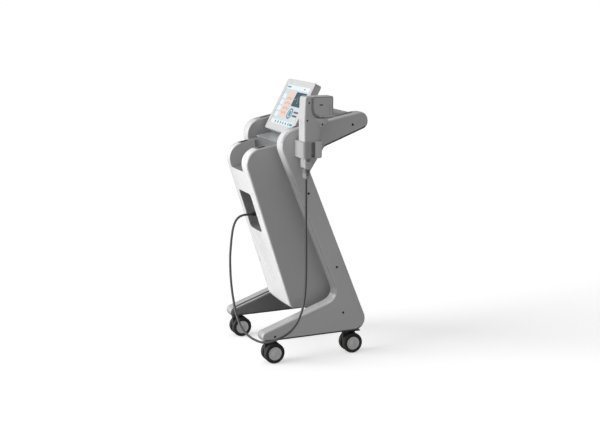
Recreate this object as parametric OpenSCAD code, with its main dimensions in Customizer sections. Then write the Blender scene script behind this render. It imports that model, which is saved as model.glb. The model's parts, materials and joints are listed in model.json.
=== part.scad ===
// Ultrasound therapy device on casters: two Z-shaped side frames carry a leaning pod, a tilting
// screen, a deck with a grab bar, and a handpiece that stands in a holder on the right frame.
// Front is -Y, right is +X, the wheels stand on Z = 0.

/* [Side frames] */
// Width over the two side frames
frame_w = 392; // [380:1:430]
// Thickness of one side frame
frame_t = 50; // [46:1:56]
// Height of the feet above the floor
foot_z = 84; // [83:0.5:90]
// Reach of the toes ahead of the middle
toe_reach = 203; // [195:1:215]
// Height of a toe at its tip
toe_h = 31.5; // [31:0.5:38]
// Rise of a foot's top edge, in degrees
foot_rise = 18.9; // [17:0.1:20]
// Lean of the columns to the front, in degrees
column_lean = 21.85; // [20:0.05:23]
// Depth of a column, measured level
column_d = 76.5; // [72:0.5:84]
// Reach of the back edge behind the middle, where it would meet the underside
heel_reach = 224; // [218:1:230]
// Height of the arms' top edge, level with the middle
arm_z = 854.5; // [840:0.5:866]
// Rise of the arms' top edge, in degrees
arm_rise = 11.1; // [8:0.1:12]
// Reach of the arms behind the middle
arm_reach = 205; // [198:1:220]
// Height of an arm at its end
arm_end_h = 61; // [58:0.5:66]
// Rise of the arms' underside, in degrees
arm_under = 20.6; // [18:0.1:22]
// Height at which the gusset leaves a column's back edge
gusset_z = 687; // [675:1:695]
// Slope of the gusset, in degrees
gusset_a = 56.8; // [54:0.1:60]
// Moulded wall thickness
wall = 3; // [2.5:0.1:3.5]
// Rounding of the outer edges
edge_r = 8; // [6:0.5:9]
// Rounding of the inner edges
inner_r = 6; // [4:0.5:7]
// Depth of the outer skins
cover_d = 10; // [9.5:0.5:14]

/* [Pod] */
// Width of the pod
pod_w = 220; // [204:1:230]
// Height of the pod's underside
pod_z = 167; // [160:1:180]
// Reach of the pod's lower front edge ahead of the middle
pod_reach = 56; // [50:1:62]
// Lean of the pod's front, in degrees
pod_lean = 17.4; // [16:0.1:18.5]
// Forward swell of the pod's front
pod_swell = 5; // [2:0.5:8]
// Depth of the deck below the arms' top edge
deck_drop = 59.5; // [50:0.5:64]
// Rise of the deck, in degrees
deck_rise = 9.9; // [8:0.1:11]
// Length of the deck behind the middle
deck_reach = 112; // [100:1:118]
// Width of the trough
trough_w = 126; // [110:1:134]
// Depth of the trough
trough_d = 77; // [65:1:85]
// Distance of the trough's rear wall ahead of the middle
trough_y = 108; // [102:1:120]
// Height of the seam between the white front covers
seam_z = 553; // [540:1:565]
// Width of the connector recess
pocket_w = 120; // [100:1:126]
// Height of the connector recess
pocket_h = 144; // [120:1:150]
// Height of the connector recess's middle
pocket_z = 524; // [518:1:535]
// Distance of the recess's rear wall ahead of the middle
pocket_y = 108; // [104:1:116]

/* [Screen] */
// Width of the screen
screen_w = 255; // [230:1:262]
// Height of the screen along its slope
screen_h = 203; // [190:1:215]
// Thickness of the screen
screen_t = 26; // [24:0.5:30]
// Lean of the screen to the rear, in degrees
screen_lean = 28.5; // [24:0.5:32]
// Width of the display
display_w = 211; // [190:1:218]
// Height of the display
display_h = 158; // [140:1:164]
// White border below the display
display_low = 24; // [20:1:28]
// Gap between the deck and the screen's lower front edge
screen_lift = 26; // [24:1:34]
// Reach of the screen's lower front edge ahead of the middle
screen_reach = 65; // [60:1:72]

/* [Handpiece and holder] */
// Reach of the holder from the side frame
holder_reach = 75; // [72:1:84]
// Depth of the holder, front to rear
holder_d = 75; // [72:1:82]
// Height of the holder
holder_h = 58; // [50:1:66]
// Height of the holder's underside
holder_z = 745; // [735:1:755]
// Reach of the holder's front ahead of the middle
holder_front = 79; // [74:1:84]
// Walls of the holder
holder_wall = 9; // [7:0.5:10]
// Width of the slot that lets the lead pass
slot_w = 15; // [12:1:28]
// Height of the handpiece above the holder's floor
hand_h = 204; // [196:1:215]
// Length of the cartridge
cartridge_l = 80; // [70:1:90]
// Height of the cartridge
cartridge_h = 71; // [64:1:74]
// Diameter of the lead
lead_d = 8.5; // [7:0.5:10]

/* [Casters] */
// Wheel diameter
wheel_d = 75; // [70:1:76]
// Width of one wheel
wheel_w = 19; // [16:0.5:19.5]
// Width over the two wheels of a caster
caster_w = 52; // [50:1:56]
// Distance from swivel axis to axle
trail = 20; // [16:1:22]
// Diameter of the swivel stem
stem_d = 11; // [9:0.5:12]
// Height of the stem above the foot's underside
stem_l = 24; // [18:1:25]
// Distance of the front axles ahead of the middle
front_axle = 154; // [148:1:158]
// Distance of the rear axles behind the middle
rear_axle = 154; // [146:1:160]

/* [Hidden] */
$fn = 48;
fit = 0.3;
run = 0.05;
far = 600;

skin_white = "white";
skin_grey = "lightgray";
dark = "dimgray";
steel = "silver";

// Plane geometry
function unit(a) = a / norm(a);
function left(a) = [-a[1], a[0]];
function ray(angle) = [cos(angle), sin(angle)];
function spun(a, angle) = [a[0] * cos(angle) - a[1] * sin(angle), a[0] * sin(angle) + a[1] * cos(angle)];
function meet(p, a, q, b) = p + ray(a) * cross(q - p, ray(b)) / cross(ray(a), ray(b));
// Corner i of a polygon whose edges all move inwards by d
function inset_corner(v, i, d) =
    let (n = len(v), na = left(unit(v[i] - v[(i + n - 1) % n])), nb = left(unit(v[(i + 1) % n] - v[i])))
    v[i] + (na + nb) * d / (1 + na * nb);
// Anticlockwise polygon with its corners rounded to radii r in s steps, moved inwards by d
function rounded(v, r, s, d = 0) =
    let (n = len(v), w = [for (i = [0:n - 1]) inset_corner(v, i, d)])
    [for (i = [0:n - 1])
        let (
            a = unit(w[i] - w[(i + n - 1) % n]), b = unit(w[(i + 1) % n] - w[i]),
            turn = atan2(cross(a, b), a * b), side = sign(turn),
            radius = max(r[i] - side * d, 0.2), start = w[i] - a * radius * tan(abs(turn) / 2),
            arm = left(a) * radius * side
        )
        for (k = [0:s[i]]) start + arm + spun(-arm, turn * k / s[i])];
function box_corners(x0, y0, x1, y1) = [[x0, y0], [x1, y0], [x1, y1], [x0, y1]];
function rounded_box(w, h, r, s = 5) =
    rounded(box_corners(-w / 2, -h / 2, w / 2, h / 2), [r, r, r, r], [s, s, s, s]);
function capsule(p, q, r, s = 10) =
    let (a = atan2(q[1] - p[1], q[0] - p[0]))
    concat(
        [for (k = [0:s]) q + r * ray(a - 90 + 180 * k / s)],
        [for (k = [0:s]) p + r * ray(a + 90 + 180 * k / s)]
    );
function at_x(x, outline) = [for (p = outline) [x, p[0], p[1]]];

// Outline along X from a to b, drawn in the Y-Z plane
module along_x(a, b) translate([a, 0, 0]) rotate([90, 0, 90]) linear_extrude(b - a) children();
// Outline along Y from a to b, drawn in the X-Z plane
module along_y(a, b) translate([0, b, 0]) rotate([90, 0, 0]) linear_extrude(b - a) children();
module pin_x(p, r, a, b) translate([a, p[0], p[1]]) rotate([0, 90, 0]) cylinder(r = r, h = b - a);
module pin_y(p, r, a, b) translate([p[0], b, p[1]]) rotate([90, 0, 0]) cylinder(r = r, h = b - a);
module both_sides() { children(); mirror([1, 0, 0]) children(); }
module on_side(side) { if (side > 0) children(); else mirror([1, 0, 0]) children(); }
// Triangles that fill an anticlockwise outline, taken off it one ear at a time
function within(p, a, b, c) = cross(b - a, p - a) >= 0 && cross(c - b, p - b) >= 0 && cross(a - c, p - c) >= 0;
function is_ear(v, a, b, c) = cross(v[b] - v[a], v[c] - v[b]) > 0
    && len([for (i = [0:len(v) - 1])
        if (i != a && i != b && i != c && within(v[i], v[a], v[b], v[c])) i]) == 0;
function ear_at(v, rest, i) =
    is_ear(v, rest[i], rest[i + 1], rest[(i + 2) % len(rest)]) ? i + 1 : ear_at(v, rest, i + 1);
function ears(v, rest) = len(rest) == 3 ? [rest] : let (e = ear_at(v, rest, 0), n = len(rest))
    concat([[rest[e - 1], rest[e], rest[(e + 1) % n]]], ears(v, [for (i = [0:n - 1]) if (i != e) rest[i]]));
function cap(ring) = ears([for (p = ring) [p[1], p[2]]], [for (i = [0:len(ring) - 1]) i]);
function fan(ring) = [[for (i = [0:len(ring) - 1]) i]];
// Closed skin over rings of equally many points, with the faces that close its first and last ring
module skin(rings, first, last) {
    n = len(rings[0]);
    end = (len(rings) - 1) * n;
    polyhedron(
        [for (ring = rings) for (p = ring) p],
        concat(
            first,
            [for (j = [0:n:end - n]) for (i = [0:n - 1])
                for (f = [[i, n + i, n + (i + 1) % n], [i, n + (i + 1) % n, (i + 1) % n]])
                    [for (k = f) j + k]],
            [for (f = last) [for (k = [len(f) - 1:-1:0]) end + f[k]]]
        ),
        convexity = 8
    );
}
module convex_skin(rings) skin(rings, fan(rings[0]), fan(rings[0]));
edge_steps = 3;
// Slab from x0 to x1 with its edges rounded to r0 and r1
module slab(v, r, s, x0, x1, r0, r1) {
    low = r0 > 0 ? [for (k = [0:edge_steps]) 90 * k / edge_steps] : [90];
    high = r1 > 0 ? [for (k = [edge_steps:-1:0]) 90 * k / edge_steps] : [90];
    rings = concat(
        [for (a = low) at_x(x0 + r0 * (1 - cos(a)), rounded(v, r, s, r0 * (1 - sin(a))))],
        [for (a = high) at_x(x1 - r1 * (1 - cos(a)), rounded(v, r, s, r1 * (1 - sin(a))))]
    );
    skin(rings, cap(rings[0]), cap(rings[len(rings) - 1]));
}

// Side frame outline in the Y-Z plane
x_out = frame_w / 2;
x_in = x_out - frame_t;
x_split = x_out - cover_d;
toe_r = 16;
nose_r = 18;
heel_r = 44;
brow_r = 60;
crook_r = 40;
arm_r = 27;
arm_tip_r = 31;
gusset_r = 10;
up_column = 90 + column_lean;
heel = [heel_reach, foot_z];
column_front = [heel_reach - column_d, foot_z];
toe_tip = [-toe_reach, foot_z + toe_h];
arm_top = [0, arm_z];
arm_tip = [arm_reach, arm_z + arm_reach * tan(arm_rise)];
arm_low = arm_tip - [0, arm_end_h];
gusset_foot = meet(heel, up_column, [0, gusset_z], 0);
frame_v = [
    [-toe_reach, foot_z], heel, gusset_foot, meet(gusset_foot, gusset_a, arm_low, arm_under),
    arm_low, arm_tip, meet(arm_top, arm_rise, column_front, up_column),
    meet(toe_tip, foot_rise, column_front, up_column), toe_tip
];
frame_r = [toe_r, heel_r, gusset_r, gusset_r, arm_r, arm_tip_r, brow_r, crook_r, nose_r];
frame_s = [4, 8, 3, 3, 6, 7, 9, 7, 4];
module frame_outline(d) polygon(rounded(frame_v, frame_r, frame_s, d));
function column_y(z) = heel_reach - column_d / 2 - (z - foot_z) * tan(column_lean);
function arm_top_z(y) = arm_z + y * tan(arm_rise);

// Places of the visible screws on a side frame
screw_high = 609;
screw_mid = 332;
screw_heel = [-111, 75];
screw_toe = [49, 16];
screw_arm_y = arm_reach - 61;
screw_arm_drop = 38.5;
screw_points = [
    [column_y(screw_high), screw_high], [column_y(screw_mid), screw_mid], heel + screw_heel,
    [-toe_reach, foot_z] + screw_toe, [screw_arm_y, arm_top_z(screw_arm_y) - screw_arm_drop]
];
screw_r = 2;
screw_bite = 18;
head_r = 4.3;
head_h = 2.6;
boss_r = 7;
seat_x = x_out - 6;

// Chassis, in a frame that leans with the columns: Y to the rear, Z up the column
plate_t = 3;
column_half = column_d / 2 * cos(column_lean);
rear_gap = 7;
rear_out = column_half - rear_gap;
rear_in = rear_out - wall;
bolt_r = 3;
bolt_head_r = 5;
bolt_head_h = 4;
module on_chassis() translate([0, heel_reach - column_d / 2, foot_z]) rotate([column_lean, 0, 0]) children();
function chassis_point(n, s) = [heel_reach - column_d / 2, foot_z] + n * ray(column_lean) + s * ray(up_column);
flange_n = 13;
bolt_low = 210;
bolt_high = 450;
flange_past = 60;
beam_back = 96;
beam_y = heel_reach - beam_back;
beam_d = 64;
beam_h = 36;
handle_r = 18;
handle_front = [arm_reach - 39, arm_top_z(arm_reach - 39) - 33];
handle_rear = [arm_reach - 23, arm_top_z(arm_reach - 23) - 32.5];
handle_bolt = (handle_front + handle_rear) / 2;
beam_mid = [beam_y, pod_z - beam_h / 2];
bolt_points = [chassis_point(flange_n, bolt_low), chassis_point(flange_n, bolt_high), handle_bolt, beam_mid];

// Deck plane, shared by the deck, the pod's top and the trough
deck_z = arm_z - deck_drop;
function deck_at(y) = deck_z + y * tan(deck_rise);
module on_deck() translate([0, 0, deck_z]) rotate([deck_rise, 0, 0]) children();

// Pod outline in the Y-Z plane
pod_edge = 6;
pod_side_x = pod_w / 2 - pod_edge;
pod_chin_r = 28;
pod_brow_r = 56;
pod_back = chassis_point(-plate_t / 2 - fit, 0);
up_pod = 90 + pod_lean;
pod_front = [-pod_reach, pod_z];
function pod_v(swell = 0, open = 0) = [
    pod_front - [swell, 0], meet(pod_back, up_column, [0, pod_z], 0) + [open, 0],
    meet(pod_back, up_column, [0, deck_z], deck_rise) + open * [1, tan(deck_rise)],
    meet(pod_front - [swell, 0], up_pod, [0, deck_z], deck_rise)
];
pod_r = [pod_chin_r, 1, 1, pod_brow_r];
pod_s = [6, 1, 1, 8];
function swell_at(x) = pod_swell * (1 - pow(x / pod_side_x, 2));
// Pod form moved inwards by d, run past its sides and back by open
module pod_solid(d, open = 0) {
    half = pod_side_x + open / 10;
    convex_skin([for (i = [-4:4])
        at_x(half * i / 4, rounded(pod_v(swell_at(half * i / 4), open), pod_r, pod_s, d))]);
}
module pod_shell() difference() { pod_solid(0); pod_solid(wall, 20); }
chin_y = -pod_reach + pod_chin_r * tan((90 - pod_lean) / 2);
cap_y = -182;
trough_r = 30;
module trough_space(grow) on_deck() translate([0, 0, -trough_d - grow]) linear_extrude(far)
    polygon(rounded(
        box_corners(-trough_w / 2, -far, trough_w / 2, -trough_y / cos(deck_rise)),
        [1, 1, trough_r, trough_r], [1, 1, 7, 7], -grow
    ));
pocket_r = 12;
module pocket_outline(grow) translate([0, pocket_z])
    polygon(rounded_box(pocket_w + 2 * grow, pocket_h + 2 * grow, pocket_r + grow));
pocket_wall = 2.5;
slot_x = (trough_w / 2 + pod_w / 2) / 2;
slot_y = -161;
slot_l = 26;
slot_h = 12;
slot_deep = 18;
socket_z = 510;
socket_flange = 3;
socket_l = 10;

// Screen, in a frame that leans with it: Y to the rear, Z up its slope
screen_z = deck_at(-screen_reach) + screen_lift;
module on_screen() translate([0, -screen_reach, screen_z]) rotate([-screen_lean, 0, 0]) children();
bezel_d = 8;
glass_y = 1.6;
glass_t = 2;
panel_t = 7;
glass_lap = 4;
screen_corner = 12;
hinge_s = 60;
hinge_gap = 14;
hinge_r = 4;
ear_r = 9;
ear_t = 11;
ear_x = 30.5;
hinge = [-screen_reach, screen_z] + hinge_s * ray(90 - screen_lean)
    + (screen_t + hinge_gap) * ray(-screen_lean);
module screen_outline(d) translate([0, screen_h / 2])
    polygon(rounded_box(screen_w - 2 * d, screen_h - 2 * d, screen_corner - d));
module display_outline(d) translate([0, display_low + display_h / 2])
    polygon(rounded_box(display_w + 2 * d, display_h + 2 * d, 2, 2));

// Handpiece and holder
holder_back = 12;
holder_floor = 6;
holder_corner = 12;
holder_x1 = x_out + holder_reach;
holder_rear = holder_d - holder_front;
hand_gap = 0.5;
hand_x0 = x_out + holder_back + hand_gap;
hand_x1 = holder_x1 - holder_wall - hand_gap;
hand_x = (hand_x0 + hand_x1) / 2;
hand_y0 = -holder_front + holder_wall + hand_gap;
hand_y1 = holder_rear - holder_wall - hand_gap;
hand_z0 = holder_z + holder_floor;
hand_z1 = hand_z0 + hand_h;
lead_y = -52;
mouth_y = lead_y + 12;
spine_y = hand_y0 + 27.5;
saddle_z = hand_z1 - cartridge_h - 4;
saddle_y = hand_y1 + 33.5;
hand_v = [
    [hand_y0, hand_z0], [hand_y1, hand_z0], [hand_y1, holder_z + holder_h + 9], [hand_y1 + 5.5, saddle_z - 32],
    [saddle_y, saddle_z - 15], [saddle_y, saddle_z], [spine_y, saddle_z],
    [spine_y, hand_z1], [hand_y0 + 4, hand_z1], [hand_y0, saddle_z - 3]
];
saddle_r = 30;
hand_r = [5, 5, 30, 12, 4, 4, saddle_r, 4, 8, 30];
hand_s = [2, 2, 2, 2, 2, 2, 5, 2, 3, 2];
hand_edge = 5;
hand_wall = 2.5;
hand_screws = [
    [hand_y0 + 18.5, hand_z1 - 21], [hand_y0 + 11.5, saddle_z - 6], [hand_y1 + 11.5, saddle_z - 21]
];
hand_screw_r = 1.5;
hand_head_r = 3.2;
cart_y0 = spine_y + 2.5;
cart_y1 = cart_y0 + cartridge_l;
cart_z0 = hand_z1 - cartridge_h;
cart_inset = 2;
cart_edge = 5;
latch_l = 13;
latch_h = 5;
latch_z = 32;
cart_v = box_corners(cart_y0, cart_z0, cart_y1, hand_z1);
peg_r = 8;
peg_z = cart_z0 + 28;
peg_reach = 24;
neck_w = 40;
neck_d = 27;
neck_r = 11;
neck_z = hand_z0 - 46;
neck_boss_r = 8;
neck_boss_h = 1.2;
neck_boss_z = hand_z0 - 12;
boot_w = 27;
boot_d = 18;
boot_z = neck_z - 34;
boot_ring_z = boot_z + 15;
lead_r = lead_d / 2;
plug_tip = -pocket_y - 58;

// Route of the lead, from the plug to the boot
lead_route = [
    [0, -166, 510], [0, -184, 510], [1, -200, 509], [2, -215, 504], [4, -228, 493], [6, -237, 477],
    [9, -244, 455],
    [13, -250, 425], [18, -255, 395], [25, -260, 360], [34, -263, 325], [44, -265, 290], [56, -266, 255],
    [70, -266, 222], [86, -266, 192], [104, -265, 166], [124, -262, 143], [146, -256, 124], [170, -246, 109],
    [194, -231, 99], [215, -214, 94], [232, -193, 96], [242, -168, 105], [247, -141, 117], [248, -115, 133],
    [247, -94, 156], [246, -78, 184], [244, -66, 218], [242, -59, 255], [240, -55, 295], [238, -53, 345],
    [236, -52, 400], [235, -52, 470], [235, -52, 540], [235, -52, 610], [235, -52, 671]
];

// Casters
caster_x = x_out - frame_t / 2;
web_t = caster_w - 2 * wheel_w - 2;
axle_r = 4;
stem_r = stem_d / 2;
socket_r = 13;
disc_r = 14;
disc_z0 = wheel_d + 0.8;
disc_z1 = foot_z - 0.4;
pedal_y = trail + 8;
pedal_z = (disc_z0 + disc_z1) / 2;
pedal_hub = (disc_z1 - disc_z0) / 2 - 0.1;
pedal_pin = 1.6;
pedal_w = 30;
pedal_l = 26;
function caster_place(front, side) = [side * caster_x, front ? -front_axle - trail : rear_axle - trail];

// The origin is under the middle of the object's box, which the holder makes lopsided
box_front = min([for (p = rounded(pod_v(swell_at(trough_w / 2)), pod_r, pod_s)) p[0]]);
box_left = max(x_out, caster_x + caster_w / 2);
box_shift = [(box_left - holder_x1) / 2, -(box_front + arm_reach) / 2, 0];
module placed() translate(box_shift) children();

// White tub of a side frame: closed inwards, open to its outer skin
module side_frame(side) color(skin_white) on_side(side) difference() {
    union() {
        difference() {
            slab(frame_v, frame_r, frame_s, x_in, x_split, inner_r, 0);
            along_x(x_in + wall, x_split + 1) frame_outline(wall);
        }
        for (p = screw_points) pin_x(p, boss_r, x_in + wall / 2, x_split);
        for (front = [true, false]) translate([caster_x, caster_place(front, 1)[1], foot_z + wall / 2])
            cylinder(r = socket_r, h = stem_l + wall);
    }
    for (p = screw_points) pin_x(p, screw_r + run, x_split - 22, x_split + 1);
    for (p = bolt_points) pin_x(p, bolt_r + 0.2, x_in - 1, x_in + wall + 1);
    for (front = [true, false]) translate([caster_x, caster_place(front, 1)[1], foot_z - 1])
        cylinder(r = stem_r + run, h = stem_l + 1 + fit);
}

// Grey outer skin with sunk screw seats
module side_cover(side) color(skin_grey) on_side(side) difference() {
    union() {
        difference() {
            slab(frame_v, frame_r, frame_s, x_split, x_out, 0, edge_r);
            along_x(x_split - 1, x_out - edge_r) frame_outline(wall);
            along_x(x_split - 1, x_out - wall) frame_outline(edge_r);
        }
        for (p = screw_points) pin_x(p, boss_r, x_split, x_out - wall / 2);
        if (side > 0) for (p = holder_bolts) pin_x(p, boss_r, x_split, x_out - wall / 2);
    }
    for (p = screw_points) {
        pin_x(p, head_r + fit, seat_x, x_out + 1);
        pin_x(p, screw_r + 0.3, x_split - 1, x_out);
    }
    if (side > 0) for (p = holder_bolts) pin_x(p, screw_r + run, x_split - 1, x_out + 1);
}

module screw_x(p, seat, length, r, r_head, h_head) {
    pin_x(p, r, seat - length, seat);
    difference() {
        pin_x(p, r_head, seat, seat + h_head);
        translate([seat + h_head / 2, p[0], p[1]]) rotate([0, 90, 0])
            cylinder(r = r_head / 2, h = h_head, $fn = 6);
    }
}
module cover_screws() color(dark) both_sides()
    for (p = screw_points) screw_x(p, seat_x, seat_x - x_split + screw_bite, screw_r, head_r, head_h);

// Folded steel plate between the side frames, with C-shaped flanges for the rear cover
plate_top = (deck_at(column_y(deck_z)) - foot_z) / cos(column_lean);
lip_w = 20;
module chassis_plate() color(steel) difference() {
    union() {
        difference() {
            along_x(-x_in, x_in) polygon([
                chassis_point(-plate_t / 2, 0), chassis_point(plate_t / 2, 0),
                chassis_point(plate_t / 2, far * 2), chassis_point(-plate_t / 2, far * 2)
            ]);
            translate([0, 0, pod_z - far]) cube([far * 2, far * 2, far * 2], center = true);
            on_deck() translate([-far, -far, -wall]) cube(far * 2);
        }
        on_chassis() both_sides() for (part = [
            [x_in - plate_t, 0, plate_t, rear_in], [x_in - lip_w, rear_in - plate_t, lip_w, plate_t]
        ]) translate([part[0], part[1], bolt_low - flange_past])
            cube([part[2], part[3], bolt_high - bolt_low + 2 * flange_past]);
        both_sides() for (s = [bolt_low, bolt_high])
            pin_x(chassis_point(flange_n, s), bolt_head_r, x_in - 10, x_in - plate_t / 2);
    }
    both_sides() for (s = [bolt_low, bolt_high])
        pin_x(chassis_point(flange_n, s), bolt_r + run, x_in - 11, x_in + 1);
    on_chassis() translate([0, 0, fan_s]) pin_y([0, 0], fan_bore, -plate_t, plate_t);
}
module chassis_bolts() color(steel) both_sides()
    for (p = bolt_points) screw_x(p, x_in + wall, wall + 9, bolt_r, bolt_head_r, bolt_head_h);
module base_beam() color(steel) difference() {
    along_x(-x_in, x_in) translate(beam_mid) polygon(rounded_box(beam_d, beam_h, 4));
    along_x(-x_in + 16, x_in - 16) translate(beam_mid)
        polygon(rounded_box(beam_d - 2 * wall, beam_h - 2 * wall, 1, 1));
    both_sides() pin_x(beam_mid, bolt_r + run, x_in - 14, x_in + 1);
}
module rear_handle() color(skin_white) difference() {
    along_x(-x_in, x_in) polygon(capsule(handle_front, handle_rear, handle_r));
    both_sides() pin_x(handle_bolt, bolt_r + run, x_in - 14, x_in + 1);
}

// Deck between the arms, with a stop at its rear edge and a raised pad clear of the screen above
deck_lip = 10;
deck_start = meet(chassis_point(0, 0), up_column, [0, deck_z], deck_rise)[0];
screen_rear = -screen_reach + screen_h * sin(screen_lean) + screen_t * cos(screen_lean);
pad_h = 1.2;
pad_edge = 7;
pad_w = 2 * x_in - 4 * pad_edge;
pad_y0 = (screen_rear + pad_edge) / cos(deck_rise);
pad_y1 = (deck_reach - wall - pad_edge) / cos(deck_rise);
module top_deck() color("lightsteelblue") {
    along_x(-x_in + fit, x_in - fit) polygon([
        [deck_start, deck_at(deck_start) - wall], [deck_reach, deck_at(deck_reach) - wall],
        [deck_reach, deck_at(deck_reach) + deck_lip], [deck_reach - wall, deck_at(deck_reach) + deck_lip],
        [deck_reach - wall, deck_at(deck_reach - wall)], [deck_start, deck_at(deck_start)]
    ]);
    on_deck() translate([0, (pad_y0 + pad_y1) / 2, -wall / 2]) linear_extrude(wall / 2 + pad_h)
        polygon(rounded_box(pad_w, pad_y1 - pad_y0, pad_edge, 4));
}
trim_w = 16;
trim_t = 1.6;
trim_gap = 0.02;
trim_start = -72;
trim_end = arm_reach - 42;
module arm_trim() color(dark) both_sides() translate([0, 0, arm_z]) rotate([arm_rise, 0, 0])
    translate([x_in + inner_r + trim_w / 2, 0, trim_gap]) linear_extrude(trim_t)
        polygon(capsule([0, trim_start + trim_w / 2], [0, trim_end - trim_w / 2], trim_w / 2, 6));

// Bent rear cover that follows the frames' back edge, gusset and arms
rear_lift = 66;
rear_low = foot_z + rear_lift;
function rear_path(d, r) =
    let (w = [for (i = [2, 3]) inset_corner(frame_v, i, d)], low = meet(w[0], up_column, [0, rear_low], 0))
    [low, w[0], w[1], meet(w[1], arm_under, [deck_reach - 2, 0], 90)];
module rear_sheet() {
    out = rear_path(rear_gap, 0);
    inn = rear_path(rear_gap + wall, 0);
    out_r = gusset_r + rear_gap;
    in_r = out_r + wall;
    polygon(rounded(
        concat(out, [inn[3], inn[2], inn[1], inn[0]]),
        [0.3, out_r, out_r, 0.3, 0.3, in_r, in_r, 0.3], [1, 4, 4, 1, 1, 4, 4, 1]
    ));
}
louvre_n = 12;
louvre_w = 150;
louvre_pitch = 9;
louvre_s = 275;
inlet_s = 150;
inlet_w = 50;
inlet_h = 66;
inlet_body_w = 42;
inlet_body_h = 56;
module rear_cover() color(skin_white) difference() {
    along_x(-x_in + fit, x_in - fit) rear_sheet();
    on_chassis() {
        for (i = [0:louvre_n - 1]) translate([0, 0, louvre_s + i * louvre_pitch])
            along_y(rear_in - 1, rear_out + 1) polygon(capsule([-louvre_w / 2, 0], [louvre_w / 2, 0], 1.8, 4));
        translate([0, 0, inlet_s]) along_y(rear_in - 1, rear_out + 1)
            polygon(rounded_box(inlet_body_w + 2 * fit, inlet_body_h + 2 * fit, 2, 2));
        for (ring = [12, 22, 32]) for (k = [0:ring / 2 - 1]) rotate([0, 0, 0])
            pin_y([0, fan_s] + ring * ray(k * 720 / ring), 2.6, rear_in - 1, rear_out + 1);
    }
}

// White front of the pod, in two covers
module front_zone() along_x(-far, far) polygon([
    [-far, 0], [chin_y, 0], [chin_y, pod_z + 20],
    [cap_y, deck_at(cap_y) - 40], [cap_y, far * 2], [-far, far * 2]
]);
module pod_front_cover(above) color(skin_white) difference() {
    intersection() {
        pod_shell();
        front_zone();
        translate([-far, -far, above ? seam_z + fit / 2 : seam_z - fit / 2 - 2 * far]) cube(2 * far);
    }
    if (above) trough_space(0);
    along_y(-far, -pocket_y) pocket_outline(0);
}
module pod_front_upper() pod_front_cover(true);
module pod_front_lower() pod_front_cover(false);

module pod_side(side) color(skin_grey) on_side(side) difference() {
    slab(pod_v(), pod_r, pod_s, pod_side_x, pod_w / 2, 0, pod_edge);
    along_x(pod_side_x - 1, pod_w / 2 - pod_edge) polygon(rounded(pod_v(), pod_r, pod_s, wall));
    along_x(pod_side_x - 1, pod_w / 2 - wall) polygon(rounded(pod_v(), pod_r, pod_s, pod_edge));
}

// Top of the pod with the trough's tub
module top_zone() translate([-far, cap_y + fit, deck_at(cap_y) - 3 * wall]) cube(2 * far);
module slot_outline(grow) polygon(capsule(
    [0, -slot_l / 2 + slot_h / 2], [0, slot_l / 2 - slot_h / 2], slot_h / 2 + grow, 6
));
module at_slots() both_sides() on_deck() translate([slot_x, slot_y / cos(deck_rise), 0]) children();
module pod_top() color(skin_grey) difference() {
    union() {
        intersection() { pod_shell(); top_zone(); }
        intersection() { trough_space(wall); pod_solid(wall + fit, 0); }
        intersection() { trough_space(wall); pod_solid(0); top_zone(); }
    }
    trough_space(0);
    at_slots() translate([0, 0, -wall * 2]) linear_extrude(wall * 4) slot_outline(fit);
}
module pod_bottom() color(skin_grey) intersection() {
    pod_shell();
    translate([-far, chin_y + fit, pod_z - far]) cube([2 * far, 2 * far, far + wall * 2]);
}
module slot_inserts() color("black") at_slots() difference() {
    union() {
        linear_extrude(1) slot_outline(2);
        translate([0, 0, -slot_deep]) linear_extrude(slot_deep + 0.5) slot_outline(0);
    }
    translate([0, 0, 2 - slot_deep]) linear_extrude(slot_deep) slot_outline(-1.5);
}
module connector_pocket() color(dark) difference() {
    intersection() {
        along_y(-far, -pocket_y + pocket_wall) pocket_outline(pocket_wall);
        pod_solid(wall + fit);
    }
    along_y(-far, -pocket_y) pocket_outline(0);
    pin_y([0, socket_z], 9, -pocket_y - 1, -pocket_y + pocket_wall + 1);
}
module handpiece_socket() color(steel) difference() {
    union() {
        pin_y([0, socket_z], 16, -pocket_y - socket_flange, -pocket_y);
        pin_y([0, socket_z], 11, -pocket_y - socket_flange - socket_l, -pocket_y);
        pin_y([0, socket_z], 8.8, -pocket_y, -pocket_y + 16);
    }
    pin_y([0, socket_z], 8 + run, -pocket_y - far, -pocket_y - socket_flange);
}

// Electronics on the chassis plate
board_s = 430;
board_w = 150;
board_h = 170;
board_t = 1.6;
post_l = 8;
can_w = 32;
can_h = 40;
can_d = 26;
can_pitch = 42;
can_z = 30;
sink_w = 100;
sink_h = 50;
sink_d = 30;
sink_z = -45;
fin_t = 3;
fin_pitch = 9;
supply_s = 230;
supply_w = 110;
supply_h = 190;
supply_d = 50;
module power_supply() color(steel) on_chassis() translate([0, -plate_t / 2, supply_s]) difference() {
    along_y(-supply_d, 0) polygon(rounded_box(supply_w, supply_h, 3, 2));
    along_y(-supply_d + 2, -2) polygon(rounded_box(supply_w - 4, supply_h - 4, 2, 2));
    for (i = [-6:6]) translate([0, 0, i * 10]) along_y(-supply_d - 1, -supply_d + 3)
        polygon(capsule([-supply_w / 3, 0], [supply_w / 3, 0], 2, 4));
}
module generator_board() color("darkgreen") on_chassis() translate([0, -plate_t / 2, board_s]) {
    face = -post_l - board_t;
    along_y(face, -post_l) square([board_w, board_h], center = true);
    for (x = [-1, 1]) for (z = [-1, 1])
        pin_y([x * (board_w / 2 - post_l), z * (board_h / 2 - post_l)], post_l * 3 / 8, -post_l, 0);
    for (i = [-1:1]) translate([i * can_pitch, 0, can_z]) along_y(-post_l - can_d, face)
        polygon(rounded_box(can_w, can_h, 3, 2));
    translate([0, 0, sink_z]) {
        for (i = [-5:5]) translate([i * fin_pitch, 0, 0]) along_y(-post_l - sink_d, face)
            square([fin_t, sink_h], center = true);
        along_y(face - 2 * board_t, face) square([sink_w, sink_h], center = true);
    }
}
fan_s = 560;
fan_w = 80;
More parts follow.
